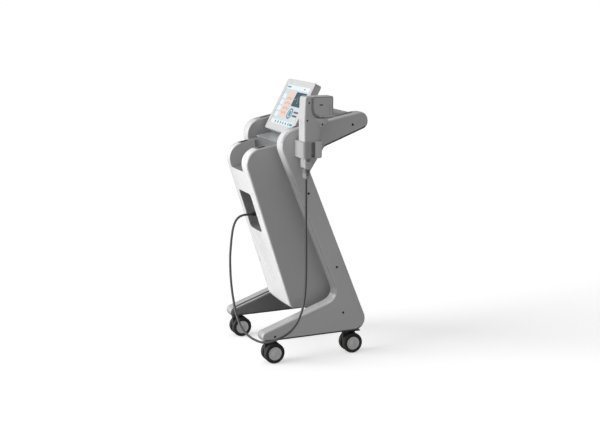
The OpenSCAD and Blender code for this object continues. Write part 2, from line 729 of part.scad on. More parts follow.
fan_bore = 37;
fan_t = 20;
fan_hub = 16;
fan_pin = 2;
fan_y1 = rear_in - fit;
fan_y0 = fan_y1 - fan_t;
module fan_outline() difference() {
    polygon(rounded_box(fan_w, fan_w, 4, 3));
    for (x = [-1, 1]) for (z = [-1, 1]) translate([x, z] * (fan_w / 2 - 5)) circle(2);
}
module fan_frame() color("black") on_chassis() translate([0, 0, fan_s]) {
    along_y(fan_y0, fan_y0 + 3) difference() {
        fan_outline();
        difference() {
            circle(fan_bore);
            circle(fan_hub - 2);
            for (a = [45, 135]) rotate(a) square([2 * fan_w, 4], center = true);
        }
    }
    along_y(fan_y0 + 3, fan_y1) difference() {
        fan_outline();
        circle(fan_bore);
    }
    pin_y([0, 0], fan_pin, fan_y0 + 1, fan_y1 - 4);
}
blade_n = 7;
module fan_rotor() color("black") on_chassis() translate([0, 0, fan_s]) difference() {
    union() {
        pin_y([0, 0], fan_hub, fan_y0 + 4, fan_y1 - 2);
        for (k = [0:blade_n - 1]) rotate([0, k * 360 / blade_n, 0])
            translate([0, (fan_y0 + fan_y1) / 2 + 1, fan_hub - 2]) rotate([0, 0, 38])
                translate([-7.5, -0.8, 0]) cube([15, 1.6, fan_bore - fan_hub - 0.5]);
    }
    pin_y([0, 0], fan_pin + run, fan_y0, fan_y1 - 3.9);
}

// Mains inlet with its rocker
rocker_w = 22;
rocker_h = 19;
rocker_s = 15;
rocker_pin = 1.5;
rocker_tilt = 8;
rocker_y = rear_out - 2;
inlet_deep = 20;
module mains_inlet() color("black") on_chassis() translate([0, 0, inlet_s]) {
    difference() {
        union() {
            along_y(rear_out, rear_out + 2.5) polygon(rounded_box(inlet_w, inlet_h, 4, 3));
            along_y(rear_out - inlet_deep, rear_out + 1)
                polygon(rounded_box(inlet_body_w, inlet_body_h, 2, 2));
        }
        along_y(rear_out - inlet_deep + 3, rear_out + 5) translate([0, -13])
            polygon(rounded_box(27, 19.5, 3, 2));
        along_y(rear_out - inlet_deep + 3, rear_out + 5) translate([0, rocker_s])
            square([rocker_w + 1, rocker_h + 3], center = true);
        pin_x([rocker_y, rocker_s], rocker_pin + run, -rocker_w / 2 - 3, rocker_w / 2 + 3);
    }
    for (p = [[-7, -15], [0, -11], [7, -15]]) translate([p[0], 0, p[1]])
        along_y(rear_out - inlet_deep + 2, rear_out - 2) square([2, 4], center = true);
}
module on_rocker() on_chassis() translate([0, rocker_y, inlet_s + rocker_s]) rotate([-rocker_tilt, 0, 0])
    children();
module power_switch() color("black") on_rocker() {
    along_x(-rocker_w / 2, rocker_w / 2) polygon([
        [-6, -5], [1, -rocker_h / 2], [6.5, -rocker_h / 2], [4.5, 0],
        [6.5, rocker_h / 2], [1, rocker_h / 2], [-6, 5]
    ]);
    pin_x([0, 0], rocker_pin, -rocker_w / 2 - 2, rocker_w / 2 + 2);
}

// Screen on its hinge
bracket_foot = 4;
bracket_w = 90;
bracket_d = 64;
module screen_bracket() color(skin_grey) difference() {
    union() {
        on_deck() translate([0, hinge[0], 0]) linear_extrude(bracket_foot)
            polygon(rounded_box(bracket_w, bracket_d, 8));
        along_x(-ear_x + 0.5, ear_x - 0.5) polygon(rounded([
            [hinge[0] - 20, deck_at(hinge[0] - 20) + 1], [hinge[0] + 24, deck_at(hinge[0] + 24) + 1],
            [hinge[0] + 11, hinge[1] + 11], [hinge[0] - 11, hinge[1] + 11]
        ], [0.3, 0.3, 10, 10], [1, 1, 8, 8]));
    }
    pin_x(hinge, hinge_r + run, -ear_x - 1, ear_x + 1);
}
module hinge_pin() color(steel) pin_x(hinge, hinge_r, -ear_x - ear_t, ear_x + ear_t);
module screen_back() color(skin_white) difference() {
    union() {
        on_screen() difference() {
            along_y(bezel_d, screen_t) screen_outline(0);
            along_y(bezel_d - 1, screen_t - wall) screen_outline(wall);
        }
        both_sides() along_x(ear_x, ear_x + ear_t) polygon(rounded([
            hinge - 16 * ray(90 - screen_lean) - (hinge_gap + 0.5) * ray(-screen_lean),
            hinge + ear_r * [1, -1],
            hinge + ear_r * [1, 1], hinge + 16 * ray(90 - screen_lean) - (hinge_gap + 0.5) * ray(-screen_lean)
        ], [0.3, 8, 8, 0.3], [1, 6, 6, 1]));
    }
    pin_x(hinge, hinge_r + run, -ear_x - ear_t - 1, ear_x + ear_t + 1);
}
module screen_bezel() color(skin_white) on_screen() difference() {
    along_y(0, bezel_d) screen_outline(0);
    along_y(glass_y, bezel_d + 1) screen_outline(wall);
    along_y(-1, bezel_d) display_outline(0);
}
module screen_glass() color("lightblue") on_screen() along_y(glass_y, glass_y + glass_t)
    display_outline(glass_lap);
panel_y = glass_y + glass_t;
module screen_panel() color(dark) on_screen() along_y(panel_y, panel_y + panel_t)
    display_outline(glass_lap - 1);

// Holder: a C-shaped cup, open at its slot
holder_bolts = [[hand_y0 + 16, holder_z + holder_h - 14], [hand_y1 - 16, holder_z + holder_h - 14]];
holder_heel = 10;
holder_edge = 2;
module holder() color(skin_grey) difference() {
    intersection() {
        translate([0, 0, holder_z]) linear_extrude(holder_h) polygon(rounded(
            box_corners(x_out, -holder_front, holder_x1, holder_rear),
            [2, holder_corner, holder_corner, 2], [2, 6, 6, 2]
        ));
        along_x(x_out, holder_x1) polygon(rounded(
            box_corners(-holder_front, holder_z, holder_rear, holder_z + holder_h),
            [holder_edge, holder_heel, holder_edge, holder_edge], [2, 5, 2, 2]
        ));
    }
    translate([0, 0, hand_z0]) linear_extrude(far) polygon(rounded(
        box_corners(hand_x0 - hand_gap, hand_y0 - hand_gap, hand_x1 + hand_gap, hand_y1 + hand_gap),
        [4, 4, 4, 4], [3, 3, 3, 3]
    ));
    translate([hand_x, mouth_y - slot_w / 2, holder_z - 1]) cube([far, slot_w, far]);
    translate([hand_x, lead_y, holder_z - 1]) linear_extrude(far)
        polygon(rounded_box(neck_w + 2 * neck_boss_h + 2, neck_d + 2, 8));
    for (p = holder_bolts) {
        pin_x(p, screw_r + 0.3, x_out - 1, x_out + holder_back + 1);
        pin_x(p, head_r + fit, x_out + holder_back - 4, x_out + holder_back + 1);
    }
}
module holder_screws() color(steel) for (p = holder_bolts)
    screw_x(p, x_out + holder_back - 4, 15, screw_r, head_r, head_h);

// Handpiece: two shells that split along its middle
module hand_form() difference() {
    slab(hand_v, hand_r, hand_s, hand_x0, hand_x1, hand_edge, hand_edge);
    along_x(hand_x0 + hand_edge, hand_x1 - hand_edge) polygon(rounded(hand_v, hand_r, hand_s, hand_wall));
    pin_y([hand_x, peg_z], peg_r + fit, spine_y - 8, spine_y + 1);
    for (p = hand_screws) pin_x(p, hand_head_r + fit, hand_x1 - 4, hand_x1 + 1);
}
module handpiece_shell(side) color(skin_grey) difference() {
    union() {
        intersection() {
            hand_form();
            translate([side > 0 ? hand_x : hand_x - far, -far, 0]) cube(2 * [far / 2, far, far]);
        }
        for (p = hand_screws) if (side > 0) pin_x(p, 5, hand_x, hand_x1 - 4);
            else pin_x(p, 5, hand_x0 + 4, hand_x);
    }
    for (p = hand_screws) {
        pin_x(p, hand_screw_r + (side > 0 ? 0.2 : run), hand_x - 14, hand_x1 + 1);
        pin_x(p, hand_head_r + fit, hand_x1 - 6, hand_x1 + 1);
    }
}
module handpiece_screws() color(dark) for (p = hand_screws)
    screw_x(p, hand_x1 - 6, hand_x1 - 6 - hand_x + 12, hand_screw_r, hand_head_r, 2);
drive_d = 17;
module handpiece_drive() color(steel) {
    pin_y([hand_x, peg_z], peg_r, spine_y - hand_wall - 14, spine_y + peg_reach);
    translate([hand_x, spine_y - hand_wall - fit - drive_d / 2, peg_z]) cube([30, drive_d, 26], center = true);
}
window_w = 34;
window_h = 48;
window_z = (cart_z0 + hand_z1) / 2 + 2;
module window_hole(y0, y1, gap) translate([hand_x, 0, 0]) along_y(y0, y1) translate([0, window_z])
    polygon(rounded_box(window_w - 2 * gap, window_h - 2 * gap, 8));
module cartridge() color(skin_white) difference() {
    union() {
        slab(
            cart_v, [saddle_r, 4, 7, 5], [6, 2, 3, 2],
            hand_x0 + cart_inset, hand_x1 - cart_inset, cart_edge, cart_edge
        );
        translate([hand_x, (cart_y0 + 26 + cart_y1 + 7) / 2, cart_z0]) linear_extrude(5)
            polygon(rounded_box(hand_x1 - hand_x0, cart_y1 + 7 - cart_y0 - 26, 5));
    }
    pin_y([hand_x, peg_z], peg_r + run, cart_y0 - 1, spine_y + peg_reach + fit);
    window_hole(cart_y1 - 3, cart_y1 + 1, 0);
    translate([hand_x1 - cart_inset - 1.2, cart_y0 + cartridge_l * 0.34, hand_z1 - latch_z])
        cube([2, latch_l, latch_h]);
    for (i = [0:4]) translate([hand_x1 - cart_inset - 1, cart_y1 - 16, peg_z - 20 + i * 7]) cube([2, 3, 4]);
}
module cartridge_window() color("burlywood") window_hole(cart_y1 - 3, cart_y1 - 1, run);
// Clamp below the handpiece in two steps, each with a round boss to the side, and the lead's boot under it
module step_x(w, d, z0, z1, r) along_x(hand_x - w / 2, hand_x + w / 2) polygon(rounded(
    box_corners(lead_y - d / 2, z0, lead_y + d / 2, z1), [r, r, 0.3, 0.3], [5, 5, 1, 1]
));
module handpiece_neck() color(skin_grey) difference() {
    union() {
        intersection() {
            step_x(neck_w, neck_d, neck_z, hand_z0, neck_r);
            translate([hand_x, lead_y, 0]) linear_extrude(hand_z0) polygon(rounded_box(neck_w, neck_d, 5, 3));
        }
        pin_x([lead_y, neck_boss_z], neck_boss_r, hand_x, hand_x + neck_w / 2 + neck_boss_h);
    }
    pin_x([lead_y, neck_boss_z], neck_boss_r / 3, hand_x + neck_w / 2 - 2, hand_x + neck_w);
}
module cable_boot() color(skin_grey) difference() {
    intersection() {
        step_x(boot_w, boot_d, boot_z, neck_z, 4);
        translate([hand_x, lead_y, 0]) linear_extrude(neck_z) polygon(rounded_box(boot_w, boot_d, 5, 3));
    }
    difference() {
        pin_x([lead_y, boot_ring_z], boot_d / 4, hand_x + boot_w / 2 - 1.5, hand_x + boot_w);
        pin_x([lead_y, boot_ring_z], boot_d / 8, hand_x, hand_x + boot_w);
    }
    translate([hand_x, lead_y, 0]) for (i = [0:2]) translate([0, 0, neck_z - 6 - 4 * i]) difference() {
        linear_extrude(1.6) polygon(rounded_box(boot_w + 2, boot_d + 2, 5, 3));
        linear_extrude(1.6) polygon(rounded_box(boot_w - 2, boot_d - 2, 4, 3));
    }
}
module cable_plug() color("black") translate([0, 0, socket_z]) rotate([90, 0, 0]) rotate_extrude() polygon([
    [0, pocket_y + socket_flange + fit], [8, pocket_y + socket_flange + fit],
    [8, pocket_y + socket_flange + socket_l + fit],
    [9.5, pocket_y + socket_flange + socket_l + fit], [9.5, pocket_y + 38], [8, pocket_y + 40],
    [lead_r + 2, pocket_y + 57], [lead_r + 2, -plug_tip], [0, -plug_tip]
]);

// Lead: a tube along smooth arcs through its route
tube_sides = 10;
tube_steps = 2;
function slope(i) = i == 0 ? lead_route[1] - lead_route[0]
    : i == len(lead_route) - 1 ? lead_route[i] - lead_route[i - 1]
    : (lead_route[i + 1] - lead_route[i - 1]) / 2;
function lead_point(i, t) = let (a = lead_route[i], b = lead_route[i + 1])
    a * (2 * t * t * t - 3 * t * t + 1) + slope(i) * (t * t * t - 2 * t * t + t)
    + b * (3 * t * t - 2 * t * t * t) + slope(i + 1) * (t * t * t - t * t);
function lead_slope(i, t) = let (a = lead_route[i], b = lead_route[i + 1])
    unit(a * (6 * t * t - 6 * t) + slope(i) * (3 * t * t - 4 * t + 1)
    + b * (6 * t - 6 * t * t) + slope(i + 1) * (3 * t * t - 2 * t));
function tube_ring(c, d) = let (u = unit(cross(d, [1, 0, 0])), v = cross(d, u))
    [for (k = [0:tube_sides - 1]) let (turn = 360 * k / tube_sides)
        c + lead_r * (u * cos(turn) + v * sin(turn))];
module cable() color(dark) convex_skin(concat(
    [for (i = [0:len(lead_route) - 2]) for (k = [0:tube_steps - 1])
        tube_ring(lead_point(i, k / tube_steps), lead_slope(i, k / tube_steps))],
    [tube_ring(lead_route[len(lead_route) - 1], unit(slope(len(lead_route) - 1)))]
));

// Caster parts, drawn at the swivel axis with the wheels trailing to the rear
module caster_body(braked) color("black") difference() {
    union() {
        along_x(-web_t / 2, web_t / 2) polygon(rounded([
            [-disc_r + 2, disc_z1 - 1], [-disc_r + 2, wheel_d / 2], [trail - 8, 12], [trail + 20, 16],
            [trail + 22, wheel_d / 2 + 14], [pedal_y + (braked ? 3 : -8), disc_z1 - 1]
        ], [1, 20, 16, 16, 14, 2], [1, 4, 4, 4, 4, 2]));
        translate([0, 0, disc_z0]) cylinder(r = disc_r, h = disc_z1 - disc_z0);
        translate([0, 0, disc_z0]) cylinder(r = stem_r, h = foot_z + stem_l - disc_z0);
        pin_x([trail, wheel_d / 2], axle_r, -caster_w / 2 + 3, caster_w / 2 - 3);
        if (braked) pin_x([pedal_y, pedal_z], pedal_pin, -pedal_w / 2, pedal_w / 2);
    }
}
wheel_dish = 26;
module wheel(outer) color("black") {
    x0 = outer * (caster_w / 2 - wheel_w);
    translate([x0, trail, wheel_d / 2]) rotate([0, 90 * outer, 0]) difference() {
        rotate_extrude() polygon(rounded(
            [[axle_r + run, 0], [wheel_d / 2, 0], [wheel_d / 2, wheel_w], [axle_r + run, wheel_w]],
            [0.3, 5, 5, 0.3], [1, 5, 5, 1]
        ));
        translate([0, 0, wheel_w - 2]) rotate_extrude() polygon([
            [10, 0], [wheel_dish - 2, 0], [wheel_dish, 3], [10, 3]
        ]);
        translate([0, 0, wheel_w - 3.5]) difference() {
            cylinder(r = 10.1, h = 4);
        }
    }
}
module brake_pedal() color("black") difference() {
    union() {
        pin_x([pedal_y, pedal_z], pedal_hub, -pedal_w / 2, pedal_w / 2);
        along_x(-pedal_w / 2, pedal_w / 2) polygon(rounded([
            [pedal_y, pedal_z - 1.2], [pedal_y + pedal_l, pedal_z - 0.6], [pedal_y + pedal_l, pedal_z + 2.4],
            [pedal_y, pedal_z + pedal_hub - 0.5]
        ], [0.3, 1, 1, 0.3], [1, 2, 2, 1]));
    }
    pin_x([pedal_y, pedal_z], pedal_pin + run, -pedal_w, pedal_w);
    translate([-web_t / 2 - fit, 0, 0]) cube([web_t + 2 * fit, pedal_y + 9, wheel_d * 2]);
}
module at_caster(front, side) { p = caster_place(front, side); translate([p[0], p[1], 0]) children(); }

placed() side_frame(1);  // side_frame_right
placed() side_frame(-1);  // side_frame_left
placed() side_cover(1);  // side_cover_right
placed() side_cover(-1);  // side_cover_left
placed() cover_screws();
placed() chassis_plate();
placed() chassis_bolts();
placed() base_beam();
placed() rear_handle();
placed() top_deck();
placed() arm_trim();
placed() rear_cover();
placed() pod_front_upper();
placed() pod_front_lower();
placed() pod_side(1);  // pod_side_right
placed() pod_side(-1);  // pod_side_left
placed() pod_top();
placed() pod_bottom();
placed() slot_inserts();
placed() connector_pocket();
placed() handpiece_socket();
placed() power_supply();
placed() generator_board();
placed() fan_frame();
placed() fan_rotor();
placed() mains_inlet();
placed() power_switch();
placed() screen_bracket();
placed() hinge_pin();
placed() screen_back();
placed() screen_bezel();
placed() screen_glass();
placed() screen_panel();
placed() holder();
placed() holder_screws();
placed() handpiece_shell(1);  // handpiece_shell_right
placed() handpiece_shell(-1);  // handpiece_shell_left
placed() handpiece_screws();
placed() handpiece_drive();
placed() cartridge();
placed() cartridge_window();
placed() handpiece_neck();
placed() cable_boot();
placed() cable();
placed() cable_plug();
placed() at_caster(true, 1) caster_body(false);  // caster_front_right
placed() at_caster(true, -1) caster_body(false);  // caster_front_left
placed() at_caster(false, 1) caster_body(true);  // caster_rear_right
placed() at_caster(false, -1) caster_body(true);  // caster_rear_left
placed() at_caster(true, 1) wheel(1);  // wheel_front_right_outer
placed() at_caster(true, 1) wheel(-1);  // wheel_front_right_inner
placed() at_caster(true, -1) wheel(-1);  // wheel_front_left_outer
placed() at_caster(true, -1) wheel(1);  // wheel_front_left_inner
placed() at_caster(false, 1) wheel(1);  // wheel_rear_right_outer
placed() at_caster(false, 1) wheel(-1);  // wheel_rear_right_inner
placed() at_caster(false, -1) wheel(-1);  // wheel_rear_left_outer
placed() at_caster(false, -1) wheel(1);  // wheel_rear_left_inner
placed() at_caster(false, 1) brake_pedal();  // brake_pedal_right
placed() at_caster(false, -1) brake_pedal();  // brake_pedal_left
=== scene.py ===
"""Looks of an ultrasound therapy device on casters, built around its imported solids."""

import json
import logging
import math
from dataclasses import dataclass, field
from enum import Enum
from typing import Callable, Sequence

import bmesh
import bpy
from mathutils import Euler, Matrix, Vector

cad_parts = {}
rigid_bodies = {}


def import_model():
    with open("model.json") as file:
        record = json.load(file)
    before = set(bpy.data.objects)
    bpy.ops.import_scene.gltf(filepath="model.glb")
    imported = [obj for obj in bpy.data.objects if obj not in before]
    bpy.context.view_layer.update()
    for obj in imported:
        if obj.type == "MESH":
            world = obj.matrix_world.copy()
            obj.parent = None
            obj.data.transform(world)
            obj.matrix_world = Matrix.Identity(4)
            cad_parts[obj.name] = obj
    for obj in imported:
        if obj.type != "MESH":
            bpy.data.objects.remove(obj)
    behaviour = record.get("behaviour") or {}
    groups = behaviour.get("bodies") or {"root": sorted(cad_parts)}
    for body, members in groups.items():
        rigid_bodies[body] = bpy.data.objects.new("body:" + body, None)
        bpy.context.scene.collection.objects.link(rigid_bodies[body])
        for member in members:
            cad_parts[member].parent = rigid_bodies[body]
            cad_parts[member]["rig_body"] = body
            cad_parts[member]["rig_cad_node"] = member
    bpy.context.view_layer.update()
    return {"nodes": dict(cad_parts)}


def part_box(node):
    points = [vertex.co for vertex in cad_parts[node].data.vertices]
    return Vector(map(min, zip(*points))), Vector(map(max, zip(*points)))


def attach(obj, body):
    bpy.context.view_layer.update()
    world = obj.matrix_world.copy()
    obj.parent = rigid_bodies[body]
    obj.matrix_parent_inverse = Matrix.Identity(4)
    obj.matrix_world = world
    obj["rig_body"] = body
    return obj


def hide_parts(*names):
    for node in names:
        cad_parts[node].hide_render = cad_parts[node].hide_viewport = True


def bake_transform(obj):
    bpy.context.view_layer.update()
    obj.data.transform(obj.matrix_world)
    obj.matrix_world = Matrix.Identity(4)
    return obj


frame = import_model()

LOG = logging.getLogger("therapy_device")
MM = 0.001
SHIFT = Vector((-37.0, 10.465, 0.0))
MERGE_GAP = 0.000004  # points of a solid that are closer than this, in metres, are one
FLAT_TURN = 0.6  # faces that meet at less than this many degrees are one
TURNED = 0.5  # share of the normal along an axis, for a face turned towards it
FLAT = 0.99  # the same for a face of a flat side
SQUARE = 0.9  # the same for a face that looks straight along it
STEEP = 0.6  # the same for a face that looks along it more than across it
LEANS = 0.3  # the same for a face that leans towards it
SLIGHT = 0.2  # the same for a face that leans a little
COAT_ROUGHNESS = 0.12
BUMP_STRENGTH = 0.35
COLOUR = "NodeSocketColor"
FLOAT = "NodeSocketFloat"
BLACK = (0.0, 0.0, 0.0, 1.0)
WHITE = (1.0, 1.0, 1.0, 1.0)
Colour = tuple[float, float, float]
Point = tuple[float, float, float]
Piece = bpy.types.Object
Tree = bpy.types.NodeTree
Socket = bpy.types.NodeSocket
FaceTest = Callable[[Vector, Vector], bool]


def at(x: float, y: float, z: float) -> Vector:
    """Turn a design point into the part's frame.

    Args:
        x: Distance to the right of the middle plane, in millimetres.
        y: Distance behind the middle, in millimetres.
        z: Height above the floor, in millimetres.

    Returns:
        The point in metres.
    """
    return (Vector((x, y, z)) + SHIFT) * MM


def wire(tree: Tree, *pairs: tuple[Socket, Socket]) -> None:
    """Link each pair of an output and an input."""
    for source, target in pairs:
        tree.links.new(source, target)


def feed(tree: Tree, source: object, target: Socket) -> None:
    """Set an input to a number or a colour, or link it to an output.

    Args:
        tree: The node tree.
        source: The number, the colour or the output.
        target: The input.
    """
    if isinstance(source, (float, tuple)):
        target.default_value = source
    else:
        tree.links.new(source, target)


def mix(tree: Tree, factor: object, first: object, second: object, blend: str = "MIX") -> Socket:
    """Mix two colours, each a value or an output.

    Args:
        tree: The node tree.
        factor: Share of the second colour.
        first: The first colour.
        second: The second colour.
        blend: How they are mixed.

    Returns:
        The mixed colour.
    """
    node = tree.nodes.new("ShaderNodeMix")
    node.data_type = "RGBA"
    node.blend_type = blend
    for label, source in (("Factor", factor), ("A", first), ("B", second)):
        feed(tree, source, node.inputs[label])
    return node.outputs["Result"]


def math_node(tree: Tree, operation: str, first: object, second: object) -> Socket:
    """Work one value out from two, each a number or an output.

    Args:
        tree: The node tree.
        operation: What is done with them, such as MULTIPLY.
        first: The first value.
        second: The second value.

    Returns:
        The result.
    """
    node = tree.nodes.new("ShaderNodeMath")
    node.operation = operation
    feed(tree, first, node.inputs[0])
    feed(tree, second, node.inputs[1])
    return node.outputs["Value"]


def preset(node: bpy.types.Node, **values: object) -> None:
    """Set a node's inputs, each named by its label with _ for spaces."""
    for label, value in values.items():
        node.inputs[label.replace("_", " ")].default_value = value


def placed(tree: Tree, group: Tree) -> bpy.types.Node:
    """Place a shared node group in a tree.

    Args:
        tree: The node tree.
        group: The shared group.

    Returns:
        The node that stands for the group.
    """
    node = tree.nodes.new("ShaderNodeGroup")
    node.node_tree = group
    return node


def blank(name: str, colour: Colour) -> tuple[bpy.types.Material, Tree, bpy.types.Node]:
    """Start a material.

    Args:
        name: Its name.
        colour: Its colour in plain views.

    Returns:
        The material, its node tree and its shader.
    """
    made = bpy.data.materials.new(name)
    made.use_nodes = True
    made.diffuse_color = (*colour, 1.0)
    return made, made.node_tree, made.node_tree.nodes["Principled BSDF"]


class Side(Enum):
    """Sides of the object, with their sign along X."""

    RIGHT = 1
    LEFT = -1

    @property
    def label(self) -> str:
        """Lower-case name, as the solids use it."""
        return self.name.lower()


class Bench:
    """Selection, edit-mode and modifier steps that every maker uses."""

    @staticmethod
    def leave() -> None:
        """Return to object mode."""
        bpy.ops.object.mode_set(mode="OBJECT")

    @staticmethod
    def clear() -> None:
        """Leave edit mode and deselect everything."""
        if bpy.context.object is not None and bpy.context.object.mode != "OBJECT":
            Bench.leave()
        bpy.ops.object.select_all(action="DESELECT")

    @staticmethod
    def pick(piece: Piece) -> None:
        """Make one object the only selected and active one.

        Args:
            piece: The object.
        """
        Bench.clear()
        piece.select_set(True)
        bpy.context.view_layer.objects.active = piece

    @staticmethod
    def active() -> Piece:
        """Return the object that was picked or made last."""
        return bpy.context.view_layer.objects.active

    @staticmethod
    def add(name: str, data: bpy.types.ID) -> Piece:
        """Put a new object into the scene.

        Args:
            name: Its name.
            data: Its curve, camera or light.

        Returns:
            The object.
        """
        made = bpy.data.objects.new(name, data)
        bpy.context.scene.collection.objects.link(made)
        return made

    @staticmethod
    def edit(piece: Piece, mode: str = "FACE") -> None:
        """Enter edit mode with nothing selected.

        Args:
            piece: The mesh object to edit.
            mode: VERT, EDGE or FACE.
        """
        Bench.pick(piece)
        bpy.ops.object.mode_set(mode="EDIT")
        bpy.ops.mesh.select_mode(type=mode)
        bpy.ops.mesh.select_all(action="DESELECT")

    @staticmethod
    def faces(piece: Piece, test: FaceTest) -> None:
        """Select the faces that pass a test, in edit mode.

        Args:
            piece: The mesh object in edit mode.
            test: Takes a face's middle and normal and says whether it is selected.
        """
        mesh = bmesh.from_edit_mesh(piece.data)
        for face in mesh.faces:
            face.select_set(test(face.calc_center_median(), face.normal))
        bmesh.update_edit_mesh(piece.data)

    @staticmethod
    def cut(piece: Piece, test: FaceTest, place: Sequence[float], normal: Point) -> None:
        """Enter edit mode and cut the faces that pass a test along a plane.

        Args:
            piece: The mesh object.
            test: Takes a face's middle and normal and says whether it is cut.
            place: A point of the plane.
            normal: The plane's normal.
        """
        Bench.edit(piece)
        Bench.faces(piece, test)
        bpy.ops.mesh.bisect(plane_co=place, plane_no=normal)

    @staticmethod
    def settle(piece: Piece) -> None:
        """Return to object mode and move the place, turn and size into the mesh."""
        Bench.pick(piece)
        bpy.ops.object.transform_apply(location=True, rotation=True, scale=True)

    @staticmethod
    def modify(piece: Piece, name: str, kind: str, **values: object) -> None:
        """Add a modifier and apply it.

        Args:
            piece: The mesh object.
            name: Name of the modifier.
            kind: Type of the modifier.
            values: Its settings.
        """
        Bench.pick(piece)
        modifier = piece.modifiers.new(name, kind)
        for key, value in values.items():
            setattr(modifier, key, value)
        bpy.ops.object.modifier_apply(modifier=modifier.name)

    @staticmethod
    def bevel(piece: Piece, width: float, segments: int = 2, angle: float = 40.0) -> None:
        """Round the sharp edges with a bevel that is applied.

        Args:
            piece: The mesh object.
            width: Width of the bevel in metres.
            segments: Steps across the bevel.
            angle: Least angle between faces, in degrees.
        """
        Bench.modify(
            piece, "round_edges", "BEVEL", width=width, segments=segments, limit_method="ANGLE",
            angle_limit=math.radians(angle), use_clamp_overlap=True, miter_outer="MITER_ARC",
        )

    @staticmethod
    def smooth(piece: Piece, angle: float = 35.0) -> None:
        """Shade smooth, but keep edges sharper than the angle in degrees."""
        Bench.pick(piece)
        bpy.ops.object.shade_smooth_by_angle(angle=math.radians(angle))

    @staticmethod
    def flatten(piece: Piece) -> None:
        """Let large faces rule the shading, so that flat faces look flat beside rounded edges.

        Args:
            piece: The mesh object.
        """
        Bench.modify(
            piece, "flat_faces", "WEIGHTED_NORMAL", mode="FACE_AREA_WITH_ANGLE", weight=100, keep_sharp=True,
        )

    @staticmethod
    def forget_normals(piece: Piece) -> None:
        """Drop the stored shading of the active piece, if it has any."""
        if piece.data.has_custom_normals:
            bpy.ops.mesh.customdata_custom_splitnormals_clear()

    @staticmethod
    def renew(piece: Piece) -> None:
        """Work the shading out again after faces have been cut or moved.

        Args:
            piece: The mesh object.
        """
        Bench.pick(piece)
        Bench.forget_normals(piece)
        Bench.smooth(piece, 30.0)
        Bench.flatten(piece)

    @staticmethod
    def join(pieces: Sequence[Piece], name: str) -> Piece:
        """Join meshes into one named object.

        Args:
            pieces: The mesh objects, of which the first one stays.
            name: Name of the joined object.

        Returns:
            The joined object.
        """
        Bench.clear()
        for piece in pieces:
            piece.select_set(True)
        bpy.context.view_layer.objects.active = pieces[0]
        if len(pieces) > 1:
            bpy.ops.object.join()
        joined = Bench.active()
        joined.name = name
        joined.data.name = name
        return joined


